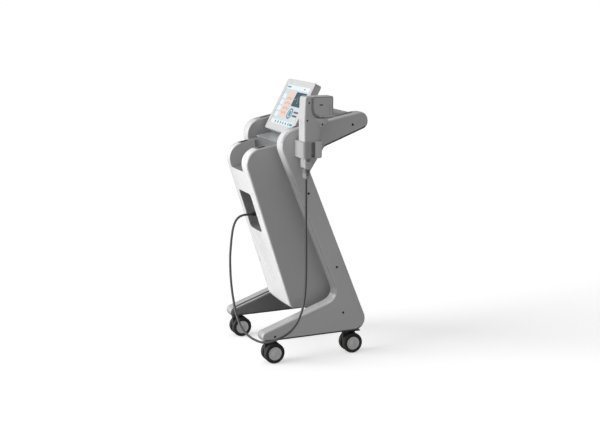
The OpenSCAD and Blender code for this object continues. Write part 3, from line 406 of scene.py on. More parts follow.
class Effects:
    """Shader node groups that several finishes share."""

    SPAN = (0.3, 0.7)  # most of a noise texture's values lie between these

    def __init__(self) -> None:
        """Build the groups once."""
        self.grain = self._grain()
        self.soil = self._soil()
        self.brush = self._brush()
        self.slope = self._slope()
        self.fade = self._fade()

    @staticmethod
    def _new(name: str, inputs: Sequence[tuple[str, str, object]], outputs: Sequence[tuple[str, str]]) -> tuple:
        """Make an empty group with sockets.

        Args:
            name: Name of the group.
            inputs: Socket name, socket type and default value.
            outputs: Socket name and socket type.

        Returns:
            The group tree, its outputs to read from and its inputs to end in.
        """
        tree = bpy.data.node_groups.new(name, "ShaderNodeTree")
        for label, kind, value in inputs:
            socket = tree.interface.new_socket(label, in_out="INPUT", socket_type=kind)
            socket.default_value = value
        for label, kind in outputs:
            tree.interface.new_socket(label, in_out="OUTPUT", socket_type=kind)
        return tree, tree.nodes.new("NodeGroupInput").outputs, tree.nodes.new("NodeGroupOutput").inputs

    @staticmethod
    def _place(tree: Tree, kind: str = "Object") -> Socket:
        """Add a texture coordinate."""
        return tree.nodes.new("ShaderNodeTexCoord").outputs[kind]

    @staticmethod
    def _upward(tree: Tree, vector: Socket) -> Socket:
        """Take the Z share of a vector.

        Args:
            tree: The node tree.
            vector: The vector.

        Returns:
            Its Z share.
        """
        split = tree.nodes.new("ShaderNodeSeparateXYZ")
        tree.links.new(vector, split.inputs["Vector"])
        return split.outputs["Z"]

    @staticmethod
    def _noise(tree: Tree, vector: Socket, scale: object, detail: float) -> Socket:
        """Add a noise texture.

        Args:
            tree: The node tree.
            vector: Where it is read.
            scale: Patches per metre, a number or an output.
            detail: Layers of finer noise.

        Returns:
            The noise, from 0 to 1.
        """
        noise = tree.nodes.new("ShaderNodeTexNoise")
        noise.inputs["Detail"].default_value = detail
        tree.links.new(vector, noise.inputs["Vector"])
        feed(tree, scale, noise.inputs["Scale"])
        return noise.outputs["Fac"]

    @staticmethod
    def _ramp(
        tree: Tree, value: Socket, start: object, end: object, low: object = 0.0, high: object = 1.0
    ) -> Socket:
        """Map a value from one range to another, each limit a number or an output.

        Args:
            tree: The node tree.
            value: The value.
            start: Where its range starts.
            end: Where its range ends.
            low: What the start becomes.
            high: What the end becomes.

        Returns:
            The mapped value.
        """
        node = tree.nodes.new("ShaderNodeMapRange")
        for label, limit in (("From Min", start), ("From Max", end), ("To Min", low), ("To Max", high)):
            feed(tree, limit, node.inputs[label])
        tree.links.new(value, node.inputs["Value"])
        return node.outputs["Result"]

    def _grain(self) -> Tree:
        """Build the fine moulded grain with its slow change of tone and gloss.

        Returns:
            The node group.
        """
        tree, given, result = self._new(
            "moulded_grain",
            [
                ("Colour", COLOUR, (0.8, 0.8, 0.8, 1.0)),
                ("Grain Scale", FLOAT, 2200.0),
                ("Gloss Low", FLOAT, 0.35),
                ("Gloss High", FLOAT, 0.5),
                ("Tone", FLOAT, 0.03),
            ],
            [("Colour", COLOUR), ("Roughness", FLOAT), ("Height", FLOAT)],
        )
        place = self._place(tree)
        fine = self._noise(tree, place, given["Grain Scale"], 2.0)
        slow = self._noise(tree, place, 7.0, 3.0)
        rough = self._ramp(tree, slow, *self.SPAN, given["Gloss Low"], given["Gloss High"])
        tone = self._ramp(tree, slow, *self.SPAN, 1.0, 0.0)
        amount = math_node(tree, "MULTIPLY", tone, given["Tone"])
        shade = mix(tree, amount, given["Colour"], BLACK, "MULTIPLY")
        wire(tree, (shade, result["Colour"]), (rough, result["Roughness"]), (fine, result["Height"]))
        return tree

    def _soil(self) -> Tree:
        """Build the dust that gathers on what is close to the floor.

        Returns:
            The node group.
        """
        tree, given, result = self._new(
            "floor_dust",
            [
                ("Colour", COLOUR, (0.1, 0.1, 0.1, 1.0)),
                ("Dust", COLOUR, (0.32, 0.3, 0.28, 1.0)),
                ("Reach", FLOAT, 0.09),
                ("Amount", FLOAT, 0.2),
            ],
            [("Colour", COLOUR), ("Mask", FLOAT)],
        )
        place = self._place(tree)
        low = self._ramp(tree, self._upward(tree, place), 0.0, given["Reach"], 1.0, 0.0)
        patches = self._ramp(tree, self._noise(tree, place, 130.0, 4.0), *self.SPAN)
        spread = math_node(tree, "MULTIPLY", low, patches)
        mask = math_node(tree, "MULTIPLY", spread, given["Amount"])
        dusty = mix(tree, mask, given["Colour"], given["Dust"])
        wire(tree, (dusty, result["Colour"]), (mask, result["Mask"]))
        return tree

    def _brush(self) -> Tree:
        """Build the fine lines along X of drawn or turned metal.

        Returns:
            The node group.
        """
        tree, given, result = self._new(
            "brushed_lines",
            [("Gloss Low", FLOAT, 0.25), ("Gloss High", FLOAT, 0.45)],
            [("Roughness", FLOAT), ("Height", FLOAT)],
        )
        stretch = tree.nodes.new("ShaderNodeMapping")
        stretch.inputs["Scale"].default_value = (30.0, 1500.0, 1500.0)
        tree.links.new(self._place(tree), stretch.inputs["Vector"])
        lines = self._noise(tree, stretch.outputs["Vector"], 1.0, 2.0)
        rough = self._ramp(tree, lines, *self.SPAN, given["Gloss Low"], given["Gloss High"])
        wire(tree, (rough, result["Roughness"]), (lines, result["Height"]))
        return tree

    def _slope(self) -> Tree:
        """Build the deeper tone of what faces down, as under soft light from above.

        Returns:
            The node group.
        """
        tree, given, result = self._new(
            "slope_shade",
            [("Colour", COLOUR, (0.6, 0.6, 0.6, 1.0)), ("Shade", FLOAT, 0.6)],
            [("Colour", COLOUR)],
        )
        facing = self._ramp(tree, self._upward(tree, self._place(tree, "Normal")), -0.4, 0.3)
        deep = tree.nodes.new("ShaderNodeVectorMath")
        deep.operation = "SCALE"
        wire(tree, (given["Colour"], deep.inputs["Vector"]), (given["Shade"], deep.inputs["Scale"]))
        tree.links.new(mix(tree, facing, deep.outputs["Vector"], given["Colour"]), result["Colour"])
        return tree

    def _fade(self) -> Tree:
        """Build painted shade that grows paler between two heights, as where more light reaches the top of a front.

        Returns:
            The node group.
        """
        tree, given, result = self._new(
            "height_fade",
            [
                ("Colour", COLOUR, (0.25, 0.25, 0.25, 1.0)),
                ("Upper", COLOUR, (0.62, 0.62, 0.62, 1.0)),
                ("Low", FLOAT, 0.67),
                ("High", FLOAT, 0.77),
            ],
            [("Colour", COLOUR)],
        )
        rise = self._ramp(tree, self._upward(tree, self._place(tree)), given["Low"], given["High"])
        tree.links.new(mix(tree, rise, given["Colour"], given["Upper"]), result["Colour"])
        return tree


class Effect(Enum):
    """Which shared effect a finish is built on."""

    GRAIN = "grain"
    SHADED_GRAIN = "shaded_grain"
    FADED_GRAIN = "faded_grain"
    DUSTY_GRAIN = "dusty_grain"
    BRUSH = "brush"


@dataclass(frozen=True)
class Finish:
    """One surface finish of the device.

    Args:
        name: Name of the finish and of its material.
        colour: Linear base colour.
        gloss: Lowest and highest roughness.
        effect: Shared effect that drives it.
        grain: Grains per metre.
        depth: Height of the grain in metres.
        tone: Strength of the slow change of tone.
        metallic: Metallic share.
        coat: Weight of the clear coat.
        slot: The record's material slot, for a finish that covers a whole piece; not used.
    """

    name: str
    colour: Colour
    gloss: tuple[float, float]
    effect: Effect = Effect.GRAIN
    grain: float = 2200.0
    depth: float = 0.00002
    tone: float = 0.03
    metallic: float = 0.0
    coat: float = 0.0
    slot: str | None = None

    def material(self, effects: Effects) -> bpy.types.Material:
        """Build the material, or return the one built before.

        Args:
            effects: The shared node groups.

        Returns:
            The material.
        """
        found = bpy.data.materials.get(self.name)
        if found is not None:
            return found
        made, tree, shader = blank(self.name, self.colour)
        preset(shader, Metallic=self.metallic, Coat_Weight=self.coat, Coat_Roughness=COAT_ROUGHNESS)
        bump = tree.nodes.new("ShaderNodeBump")
        preset(bump, Strength=BUMP_STRENGTH, Distance=self.depth)
        brushed = self.effect is Effect.BRUSH
        group = placed(tree, effects.brush if brushed else effects.grain)
        preset(group, Gloss_Low=self.gloss[0], Gloss_High=self.gloss[1])
        rough = group.outputs["Roughness"]
        if brushed:
            preset(shader, Base_Color=(*self.colour, 1.0))
        else:
            preset(group, Colour=(*self.colour, 1.0), Grain_Scale=self.grain, Tone=self.tone)
            source = group.outputs["Colour"]
            shades = {
                Effect.DUSTY_GRAIN: effects.soil,
                Effect.SHADED_GRAIN: effects.slope,
                Effect.FADED_GRAIN: effects.fade,
            }
            if self.effect in shades:
                shade = placed(tree, shades[self.effect])
                tree.links.new(source, shade.inputs["Colour"])
                source = shade.outputs["Colour"]
                if self.effect is Effect.DUSTY_GRAIN:
                    rough = math_node(tree, "MAXIMUM", rough, shade.outputs["Mask"])
            tree.links.new(source, shader.inputs["Base Color"])
        wire(
            tree, (rough, shader.inputs["Roughness"]), (group.outputs["Height"], bump.inputs["Height"]),
            (bump.outputs["Normal"], shader.inputs["Normal"]),
        )
        return made


class Paint:
    """The finishes of this device."""

    FRONT = Finish(
        "white_front_shell", (0.87, 0.87, 0.868), (0.22, 0.32), coat=0.25, tone=0.006, slot="white_shell",
    )
    WHITE = Finish(
        "white_gloss_shell", (0.58, 0.58, 0.578), (0.24, 0.34), coat=0.2, tone=0.01, slot="white_shell",
    )
    # painted shade: darker on the faces that look down
    FRAME = Finish(
        "white_frame_shell", (0.52, 0.52, 0.518), (0.24, 0.34), Effect.SHADED_GRAIN,
        coat=0.2, tone=0.01, slot="white_shell",
    )
    GREY = Finish("grey_satin_shell", (0.6, 0.6, 0.6), (0.36, 0.48), slot="grey_shell")
    SIDE = Finish("grey_pod_side", (0.53, 0.53, 0.53), (0.36, 0.48), slot="grey_shell")
    # painted shade on the front of the leaning stretch, paler towards its top
    BAND = Finish("shaded_front_band", (0.24, 0.24, 0.242), (0.36, 0.48), Effect.FADED_GRAIN, tone=0.02)
    TOP = Finish("grey_top_shell", (0.26, 0.26, 0.264), (0.34, 0.46), slot="grey_shell")
    HAND = Finish("handpiece_satin", (0.57, 0.57, 0.572), (0.34, 0.46), tone=0.025, slot="grey_shell")
    PALE = Finish("pale_satin_shell", (0.42, 0.42, 0.42), (0.32, 0.44), tone=0.02, slot="grey_shell")
    # painted light: the paler copy of the shell for faces where light falls
    LIGHT = Finish("light_satin_shell", (0.68, 0.68, 0.68), (0.34, 0.46))
    DARK = Finish(
        "dark_satin_plastic", (0.03, 0.03, 0.032), (0.4, 0.55), grain=1500.0, depth=0.00004, slot="dark_plastic",
    )
    TRIM = Finish(
        "slate_trim", (0.075, 0.08, 0.088), (0.26, 0.38), grain=1500.0, depth=0.00003, slot="dark_plastic",
    )
    # painted shade: undersides, the lower edge of a foot's inner face and the cartridge's latch recess
    UNDER = Finish("shaded_underside", (0.1, 0.1, 0.102), (0.45, 0.6), grain=1200.0, depth=0.00004)
    # painted shade: a foot's sunk inner panel, the thin wall along a foot's top and the boot's top under the neck
    LINER = Finish("foot_liner", (0.2, 0.2, 0.203), (0.45, 0.6), grain=1200.0, depth=0.00004)
    # painted shade on the forward-looking upright faces of the pod top
    TROUGH = Finish("trough_end", (0.17, 0.17, 0.171), (0.36, 0.48), tone=0.02)
    # painted shade: inside the connector recess and on the handpiece's foot in the holder's slot
    POCKET = Finish(
        "recess_lining", (0.29, 0.29, 0.29), (0.45, 0.6), grain=1200.0, depth=0.00004, slot="dark_plastic",
    )
    CASTER = Finish(
        "caster_nylon", (0.02, 0.02, 0.022), (0.38, 0.55), Effect.DUSTY_GRAIN,
        grain=1200.0, depth=0.00004, slot="dark_plastic",
    )
    TYRE = Finish(
        "tyre_rubber", (0.011, 0.011, 0.011), (0.55, 0.75), Effect.DUSTY_GRAIN,
        grain=900.0, depth=0.00006, slot="tyre",
    )
    HUB = Finish("hub_plastic", (0.74, 0.74, 0.74), (0.35, 0.5), Effect.DUSTY_GRAIN, slot="grey_shell")
    LEAD = Finish("lead_jacket", (0.085, 0.085, 0.087), (0.4, 0.55), grain=1400.0, depth=0.00003, slot="lead")
    TRAY = Finish("tray_gloss", (0.46, 0.48, 0.495), (0.1, 0.18), coat=0.5, tone=0.04, slot="tray")
    STEEL = Finish("drawn_steel", (0.56, 0.57, 0.58), (0.25, 0.42), Effect.BRUSH, metallic=1.0, slot="steel")
    BOARD = Finish("board_lacquer", (0.02, 0.12, 0.05), (0.3, 0.4), slot="board")
    WINDOW = Finish("cartridge_film", (0.55, 0.38, 0.14), (0.12, 0.2), coat=0.4, slot="window")
    SCREW = Finish(
        "blackened_screw", (0.02, 0.02, 0.02), (0.35, 0.5), Effect.BRUSH, metallic=0.6, slot="dark_plastic",
    )


@dataclass
class Workshop:
    """What every maker needs: the effects and the names of the pieces made so far."""

    effects: Effects
    made: list[str] = field(default_factory=list)

    def paint(self, piece: Piece, finish: Finish) -> None:
        """Give a piece one finish.

        Args:
            piece: The mesh object.
            finish: Its finish.
        """
        piece.data.materials.clear()
        piece.data.materials.append(finish.material(self.effects))

    def finish(self, piece: Piece, body: str, finish: Finish, *nodes: str) -> Piece:
        """Paint a piece, set it on its body and log it.

        Args:
            piece: The finished mesh object.
            body: The body that carries it.
            finish: Its finish.
            nodes: The solids that it stands for.

        Returns:
            The piece.
        """
        self.paint(piece, finish)
        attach(piece, body)
        if nodes:
            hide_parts(*nodes)
        self.made.append(piece.name)
        LOG.info("%s on %s: %d faces", piece.name, body, len(piece.data.polygons))
        return piece

    def skin(
        self, node: str, body: str, finish: Finish, bevel: float = 0.5, segments: int = 2, angle: float = 30.0
    ) -> Piece:
        """Stand a smooth skin with rounded edges in for a solid.

        Args:
            node: Name of the solid.
            body: The body that carries it.
            finish: Its finish.
            bevel: Rounding of the sharp edges, in millimetres, or 0 for none.
            segments: Steps across the rounding.
            angle: Least angle of an edge that is rounded or kept sharp, in degrees.

        Returns:
            The new piece.
        """
        Bench.pick(frame["nodes"][node])
        bpy.ops.object.duplicate()
        piece = Bench.active()
        piece.name = f"{node}_skin"
        piece.data.name = piece.name
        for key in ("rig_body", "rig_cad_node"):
            if key in piece:
                del piece[key]
        bpy.ops.object.parent_clear(type="CLEAR_KEEP_TRANSFORM")
        Bench.forget_normals(piece)
        bpy.ops.object.mode_set(mode="EDIT")
        bpy.ops.mesh.select_all(action="SELECT")
        bpy.ops.mesh.remove_doubles(threshold=MERGE_GAP)
        bpy.ops.mesh.dissolve_limited(angle_limit=math.radians(FLAT_TURN))
        Bench.leave()
        if bevel > 0:
            Bench.bevel(piece, bevel * MM, segments, angle)
        Bench.smooth(piece, angle)
        Bench.flatten(piece)
        return self.finish(piece, body, finish, node)

    def skins(self, body: str, *rows: tuple[str, Finish, float]) -> None:
        """Stand skins in for several solids of one body.

        Args:
            body: The body that carries them.
            rows: Name of each solid, its finish and its rounding in millimetres.
        """
        for node, finish, bevel in rows:
            self.skin(node, body, finish, bevel)

    def second(self, piece: Piece, finish: Finish, test: FaceTest) -> None:
        """Give the faces that pass a test a second finish.

        Args:
            piece: The finished mesh object.
            finish: The second finish.
            test: Takes a face's middle and normal and says whether it is painted.
        """
        Bench.edit(piece)
        Bench.faces(piece, test)
        piece.data.materials.append(finish.material(self.effects))
        piece.active_material_index = len(piece.data.materials) - 1
        bpy.ops.object.material_slot_assign()
        Bench.leave()


@dataclass
class SideFrames:
    """The Z-shaped side frames, what joins them and what lies between their arms."""

    shop: Workshop
    inner_x: float = 146.0
    liner_top: float = 250.0
    liner_rim: float = 1.5
    liner_bevel: float = 0.6
    liner_depth: float = 0.5
    step_x: float = 153.0
    step_wall: float = 0.2
    step_fall: float = 4.5
    step_ends: tuple[float, float] = (-182.0, 46.0)
    step_slack: float = 0.25
    foot_middle: tuple[float, float] = (-68.0, 160.0)
    foot_window: tuple[float, float] = (60.0, 25.0)
    # limits of a normal's share: on the foot's top, on its inner rounding and on the bend above it
    top_turns: tuple[float, float] = (0.1, 0.05)
    rounding_turns: tuple[float, float] = (0.2, 0.98)
    bend_turns: tuple[float, float] = (0.2, 0.85)
    lean_corner: tuple[float, float] = (-125.0, 185.0)
    arm_low: float = 740.0
    edge_h: float = 9.0
    edge_slack: float = 1.0
    slack: float = 0.3

    def build(self) -> None:
        """Dress both frames, the beam, the handle, the deck and the rear."""
        low, high = self.bend_turns
        for side in Side:
            tub = self.shop.skin(f"side_frame_{side.label}", "base", Paint.FRAME, 0.4)
            self.step(tub, side)
            self.liner(tub, side)
            Bench.renew(tub)
            cover = self.shop.skin(f"side_cover_{side.label}", "base", Paint.GREY, 0.4)
            for shell in (tub, cover):
                # Painted shade: the undersides darkest, the front of the leaning stretch dark and paler towards the
                # top, and the bend below it a step paler.
                self.shop.second(shell, Paint.UNDER, self.below)
                self.shop.second(shell, Paint.BAND, lambda c, n: self.leaning(c, n) and n.z < low)
                self.shop.second(shell, Paint.PALE, lambda c, n: self.leaning(c, n) and low <= n.z < high)
            # Painted light: the rounded front of each arm paler.
            self.shop.second(tub, Paint.LIGHT, self.arm_front)
        self.shop.skins(
            "base",
            ("cover_screws", Paint.SCREW, 0.2),
            ("base_beam", Paint.GREY, 0.8),
            ("rear_handle", Paint.WHITE, 0.0),
            ("top_deck", Paint.TRAY, 0.8),
            ("arm_trim", Paint.TRIM, 0.4),
            ("rear_cover", Paint.WHITE, 0.3),
            ("chassis_plate", Paint.STEEL, 0.0),
        )
        for node in ("chassis_bolts", "power_supply", "generator_board", "hinge_pin"):
            self.shop.paint(frame["nodes"][node], Paint.BOARD if node == "generator_board" else Paint.STEEL)

    @staticmethod
    def below(c: Vector, n: Vector) -> bool:
        """Whether a face belongs to the shaded underside of a foot or an arm."""
        return n.y > -LEANS and (n.z < -STEEP or (n.z < -SLIGHT and abs(n.x) > LEANS))

    def leaning(self, c: Vector, n: Vector) -> bool:
        """Whether a face belongs to the front of a frame's leaning stretch or the bend below it."""
        corner = at(0, *self.lean_corner)
        return n.y < -TURNED and c.y > corner.y and c.z > corner.z

    def arm_front(self, c: Vector, n: Vector) -> bool:
        """Whether a face belongs to the rounded front of a frame's arm."""
        return n.y < -LEANS and c.z > self.arm_low * MM and (n.z > 0 or c.y < at(0, *self.lean_corner).y)

    def step(self, tub: Piece, side: Side) -> None:
        """Lower the inner edge of a foot's sloping top, so that a thin wall shows along it, with a painted
        highlight on the inner rounding and painted shade on the wall.

        Args:
            tub: The dressed frame.
            side: The side that it stands on.
        """
        inward = -side.value
        middle = at(0, *self.foot_middle)
        reach, rise = (size * MM for size in self.foot_window)
        up, aside = self.top_turns
        low, high = self.rounding_turns
        lines = [at(side.value * x, 0, 0) for x in (self.step_x, self.step_x + self.step_wall)]
        ends = [at(0, y, 0) for y in self.step_ends]

        def top(c: Vector, n: Vector) -> bool:
            """Whether a face lies along the sloping top of the foot or its inner rounding."""
            near = abs(c.y - middle.y) < reach and abs(c.z - middle.z) < rise
            return near and n.z > up and n.y < -aside and n.x * inward > -aside

        def wall(c: Vector, n: Vector) -> bool:
            """Whether a face lies in the thin wall above the lowered edge."""
            upright = n.x * inward > SQUARE and c.z < self.liner_top * MM
            return upright and abs(c.x - lines[0].x) < self.step_slack * MM

        for place in lines:
            Bench.cut(tub, top, place, (1, 0, 0))
        for place in ends:
            Bench.cut(tub, top, place, (0, 1, 0))
        Bench.edit(tub)
        Bench.faces(tub, lambda c, n: top(c, n) and (c.x - lines[0].x) * inward > 0)
        bpy.ops.transform.translate(value=(0, 0, -self.step_fall * MM))
        Bench.leave()
        # painted highlight along the inner rounding of the foot's top
        self.shop.second(tub, Paint.FRONT, lambda c, n: top(c, n) and low < n.x * inward < high)
        # painted shade on the thin wall
        self.shop.second(tub, Paint.LINER, wall)

    def liner(self, tub: Piece, side: Side) -> None:
        """Cut a sunk panel into the inner face of a foot and give it painted shade, darker still along the lower
        edge of the inner face.

        Args:
            tub: The dressed frame.
            side: The side that it stands on.
        """
        inward = -side.value
        face = at(side.value * self.inner_x, 0, 0).x
        sunk = face - inward * self.liner_depth * MM
        high = self.liner_top * MM
        low_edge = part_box("side_frame_right")[0].z + self.edge_h * MM

        def flat(c: Vector, n: Vector) -> bool:
            """Whether a face lies in the frame's flat inner side."""
            return n.x * inward > FLAT and abs(c.x - face) < self.slack * MM

        def beside(c: Vector, n: Vector, x: float, slack: float) -> bool:
            """Whether a face looks inwards and lies close to an upright plane."""
            return abs(c.x - x) < slack * MM and n.x * inward > TURNED

        Bench.cut(tub, flat, at(0, 0, self.liner_top), (0, 0, 1))
        Bench.faces(tub, lambda c, n: flat(c, n) and c.z < high)
        bpy.ops.mesh.inset(thickness=self.liner_rim * MM, depth=0.0)
        bpy.ops.mesh.inset(thickness=self.liner_bevel * MM, depth=-self.liner_depth * MM)
        Bench.leave()
        # painted shade on the sunk panel
        self.shop.second(tub, Paint.LINER, lambda c, n: beside(c, n, sunk, self.slack) and c.z < high)
        # painted shade along the lower edge of the inner face
        self.shop.second(tub, Paint.UNDER, lambda c, n: beside(c, n, face, self.edge_slack) and c.z < low_edge)


@dataclass
class Pod:
    """The leaning pod with its trough, slots and connector recess."""

    shop: Workshop

    def build(self) -> None:
        """Dress the covers, the recess and the socket."""
        for part in ("upper", "lower"):
            self.shop.skin(f"pod_front_{part}", "base", Paint.FRONT, 0.5)
        for side in Side:
            self.shop.skin(f"pod_side_{side.label}", "base", Paint.SIDE, 0.4)
        top = self.shop.skin("pod_top", "base", Paint.TOP, 0.6)
        # painted shade: the flat top darker than its upright faces, and the upright faces that look forward, such
        # as the trough's rear wall, darker still
        self.shop.second(top, Paint.GREY, self.upright)
        self.shop.second(top, Paint.TROUGH, lambda c, n: self.upright(c, n) and n.y < -LEANS)
        self.shop.skins(
            "base",
            ("pod_bottom", Paint.GREY, 0.4),
            ("slot_inserts", Paint.DARK, 0.3),
            # painted shade: a darker grey inside the connector recess
            ("connector_pocket", Paint.POCKET, 0.4),
            ("handpiece_socket", Paint.STEEL, 0.4),
        )

    @staticmethod
    def upright(c: Vector, n: Vector) -> bool:
        """Whether a face stands more than it lies."""
        return abs(n.z) < STEEP


@dataclass
class RearFittings:
    """Fan, mains inlet and rocker behind the rear cover."""

    shop: Workshop

    def build(self) -> None:
        """Dress what shows at the rear."""
        self.shop.skin("fan_frame", "base", Paint.DARK, 0.3)
        self.shop.skin("fan_rotor", "fan", Paint.DARK, 0.2)
        self.shop.skin("mains_inlet", "base", Paint.DARK, 0.3)
        self.shop.skin("power_switch", "rocker", Paint.DARK, 0.3)


@dataclass
class Handpiece:
    """The handpiece, its cartridge and the holder that it stands in."""

    shop: Workshop
    side_inset: float = 2.0
    rib_depth: float = 3.0
    latch_depth: float = 3.2
    mark_slack: float = 0.1
    wall_h: float = 74.0
    wall_reach: tuple[float, float] = (4.0, 12.0)
    wall_rim: float = 1.0
    wall_rise: float = 1.7
    seat_fall: float = 4.0
    boss_slack: float = 0.5
    collar_h: float = 14.0
    ring_depth: float = 1.0

    def build(self) -> None:
        """Dress the holder, the shells and the cartridge."""
        skin, second = self.shop.skin, self.shop.second
        holder = skin("holder", "base", Paint.PALE, 0.8, 3)
        slot = sum(corner.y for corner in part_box("holder")) / 2
        # painted light: the side faces of the holder's rear half paler than the rest
        second(holder, Paint.LIGHT, lambda c, n: n.x > TURNED and c.y > slot)
        skin("holder_screws", "base", Paint.STEEL, 0.2)
        for side in Side:
            shell = skin(f"handpiece_shell_{side.label}", "handpiece", Paint.HAND, 0.2)
            self.gasket(shell)
            self.seat(shell)
        skin("handpiece_screws", "handpiece", Paint.SCREW, 0.2)
        neck = skin("handpiece_neck", "handpiece", Paint.PALE, 0.8, 3)
        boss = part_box("handpiece_neck")[1].x - self.boss_slack * MM
        # painted light: the neck's side faces paler than its front
        second(neck, Paint.HAND, lambda c, n: n.x > TURNED)
        second(neck, Paint.TOP, lambda c, n: n.x > SQUARE and c.x > boss)
        self.boot()
        self.shop.paint(frame["nodes"]["handpiece_drive"], Paint.STEEL)
        cartridge = skin("cartridge", "cartridge", Paint.HAND, 0.4)
        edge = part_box("cartridge")[1].x
        latch, rib, side_face = (
            edge - (depth + self.mark_slack) * MM for depth in (self.latch_depth, self.rib_depth, self.side_inset)
        )
        # painted shade: the latch recess darkest and the sunk faces beside the rib darker
        second(cartridge, Paint.UNDER, lambda c, n: n.x > SQUARE and latch < c.x < rib)
        second(cartridge, Paint.TOP, lambda c, n: n.x > SQUARE and rib < c.x < side_face)
        skin("cartridge_window", "cartridge", Paint.WINDOW, 0.4)

    def boot(self) -> None:
        """Dress the boot under the neck, with painted shade on its ribbed top, painted light on its lower side and
        painted shade in its sunk ring.
        """
        boot = self.shop.skin("cable_boot", "handpiece", Paint.TOP, 0.3)
        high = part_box("cable_boot")[1]
        collar = high.z - self.collar_h * MM
        ring = high.x - self.ring_depth * MM
        # painted shade on the ribbed top under the neck
        self.shop.second(boot, Paint.LINER, lambda c, n: c.z > collar)
        # painted light: the lower side faces paler than the front
        self.shop.second(boot, Paint.PALE, lambda c, n: n.x > TURNED and c.z < collar)
        # painted shade in the sunk ring
        self.shop.second(boot, Paint.DARK, lambda c, n: n.x > SQUARE and c.z < collar and c.x < ring)

    def seat(self, shell: Piece) -> None:
        """Paint shade on the foot of a half shell, which stands in the holder and shows through its slot.

        Args:
            shell: The dressed half shell.
        """
        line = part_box("holder")[1].z - self.seat_fall * MM
        Bench.cut(shell, lambda c, n: True, (0, 0, line), (0, 0, 1))
        Bench.leave()
        # painted shade on the foot that shows through the holder's slot
        self.shop.second(shell, Paint.POCKET, lambda c, n: c.z < line)

    def gasket(self, shell: Piece) -> None:
        """Raise the wall that faces the cartridge, so that the joint between them looks closed.

        Args:
            shell: The dressed half shell.
        """
        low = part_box("handpiece_shell_right")[1].z - self.wall_h * MM
        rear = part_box("cartridge")[0].y
        before, behind = (reach * MM for reach in self.wall_reach)

        def wall(c: Vector, n: Vector) -> bool:
            """Whether a face lies in the saddle's upright wall."""
            return n.y > STEEP and rear - before < c.y < rear + behind and c.z > low

        Bench.edit(shell)
        Bench.faces(shell, wall)
        bpy.ops.mesh.inset(thickness=self.wall_rim * MM, depth=self.wall_rise * MM)
        Bench.leave()


@dataclass
class Lead:
    """The lead between the socket and the handpiece, hanging in one loop."""

    shop: Workshop
    diameter: float = 8.5
    route: tuple[Point, ...] = (
        (0, -166, 510), (0, -184, 510), (1, -200, 509), (2, -215, 504), (4, -228, 493), (6, -237, 477),
        (9, -244, 455), (13, -250, 425), (18, -255, 395), (25, -260, 360), (34, -263, 325), (44, -265, 290),
        (56, -266, 255), (70, -266, 222), (86, -266, 192), (104, -265, 166), (124, -262, 143), (146, -256, 124),
        (170, -246, 109), (194, -231, 99), (215, -214, 94), (232, -193, 96), (242, -168, 105), (247, -141, 117),
        (248, -115, 133), (247, -94, 156), (246, -78, 184), (244, -66, 218), (242, -59, 255), (240, -55, 295),
        (238, -53, 345), (236, -52, 400), (235, -52, 470), (235, -52, 540), (235, -52, 610), (235, -52, 671),
    )
    # the loop's end points at rest and with the handpiece lifted
    still_end: Point = (12, -164, 511)
    lifted_end: Point = (252, -135, 535)

    def centre_line(self, steps: int = 6) -> list[Vector]:
        """Points along the smooth curve through the route.

        Args:
            steps: Points for each stretch of the route.

        Returns:
            The points in metres, in the part's frame.
        """
        knots = [at(*p) for p in self.route]
        slopes = [
            knots[1] - knots[0],
            *((after - before) / 2 for before, after in zip(knots, knots[2:])),
            knots[-1] - knots[-2],
        ]
        line: list[Vector] = []
        for i in range(len(knots) - 1):
            for k in range(steps):
                t = k / steps
                line.append(
                    knots[i] * (2 * t**3 - 3 * t**2 + 1)
                    + slopes[i] * (t**3 - 2 * t**2 + t)
                    + knots[i + 1] * (3 * t**2 - 2 * t**3)
                    + slopes[i + 1] * (t**3 - t**2)
                )
        line.append(knots[-1])
        return line

    def build(self) -> None:
        """Dress the plug and sweep the jacket along the route."""
        plug = self.shop.skin("cable_plug", "base", Paint.DARK, 0.4)
        line = self.centre_line()
        curve = bpy.data.curves.new("lead", "CURVE")
        curve.dimensions = "3D"
        curve.bevel_depth = self.diameter / 2 * MM
        curve.bevel_resolution = 4
        curve.use_fill_caps = True
        spline = curve.splines.new("POLY")
        spline.points.add(len(line) - 1)
        for point, place in zip(spline.points, line):
            point.co = (*place, 1.0)
        Bench.pick(Bench.add("lead", curve))
        bpy.ops.object.convert(target="MESH")
        piece = Bench.active()
        Bench.smooth(piece, 50.0)
        self.shop.paint(piece, Paint.LEAD)
        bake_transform(piece)
        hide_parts("cable")
        self.shop.made.append(piece.name)


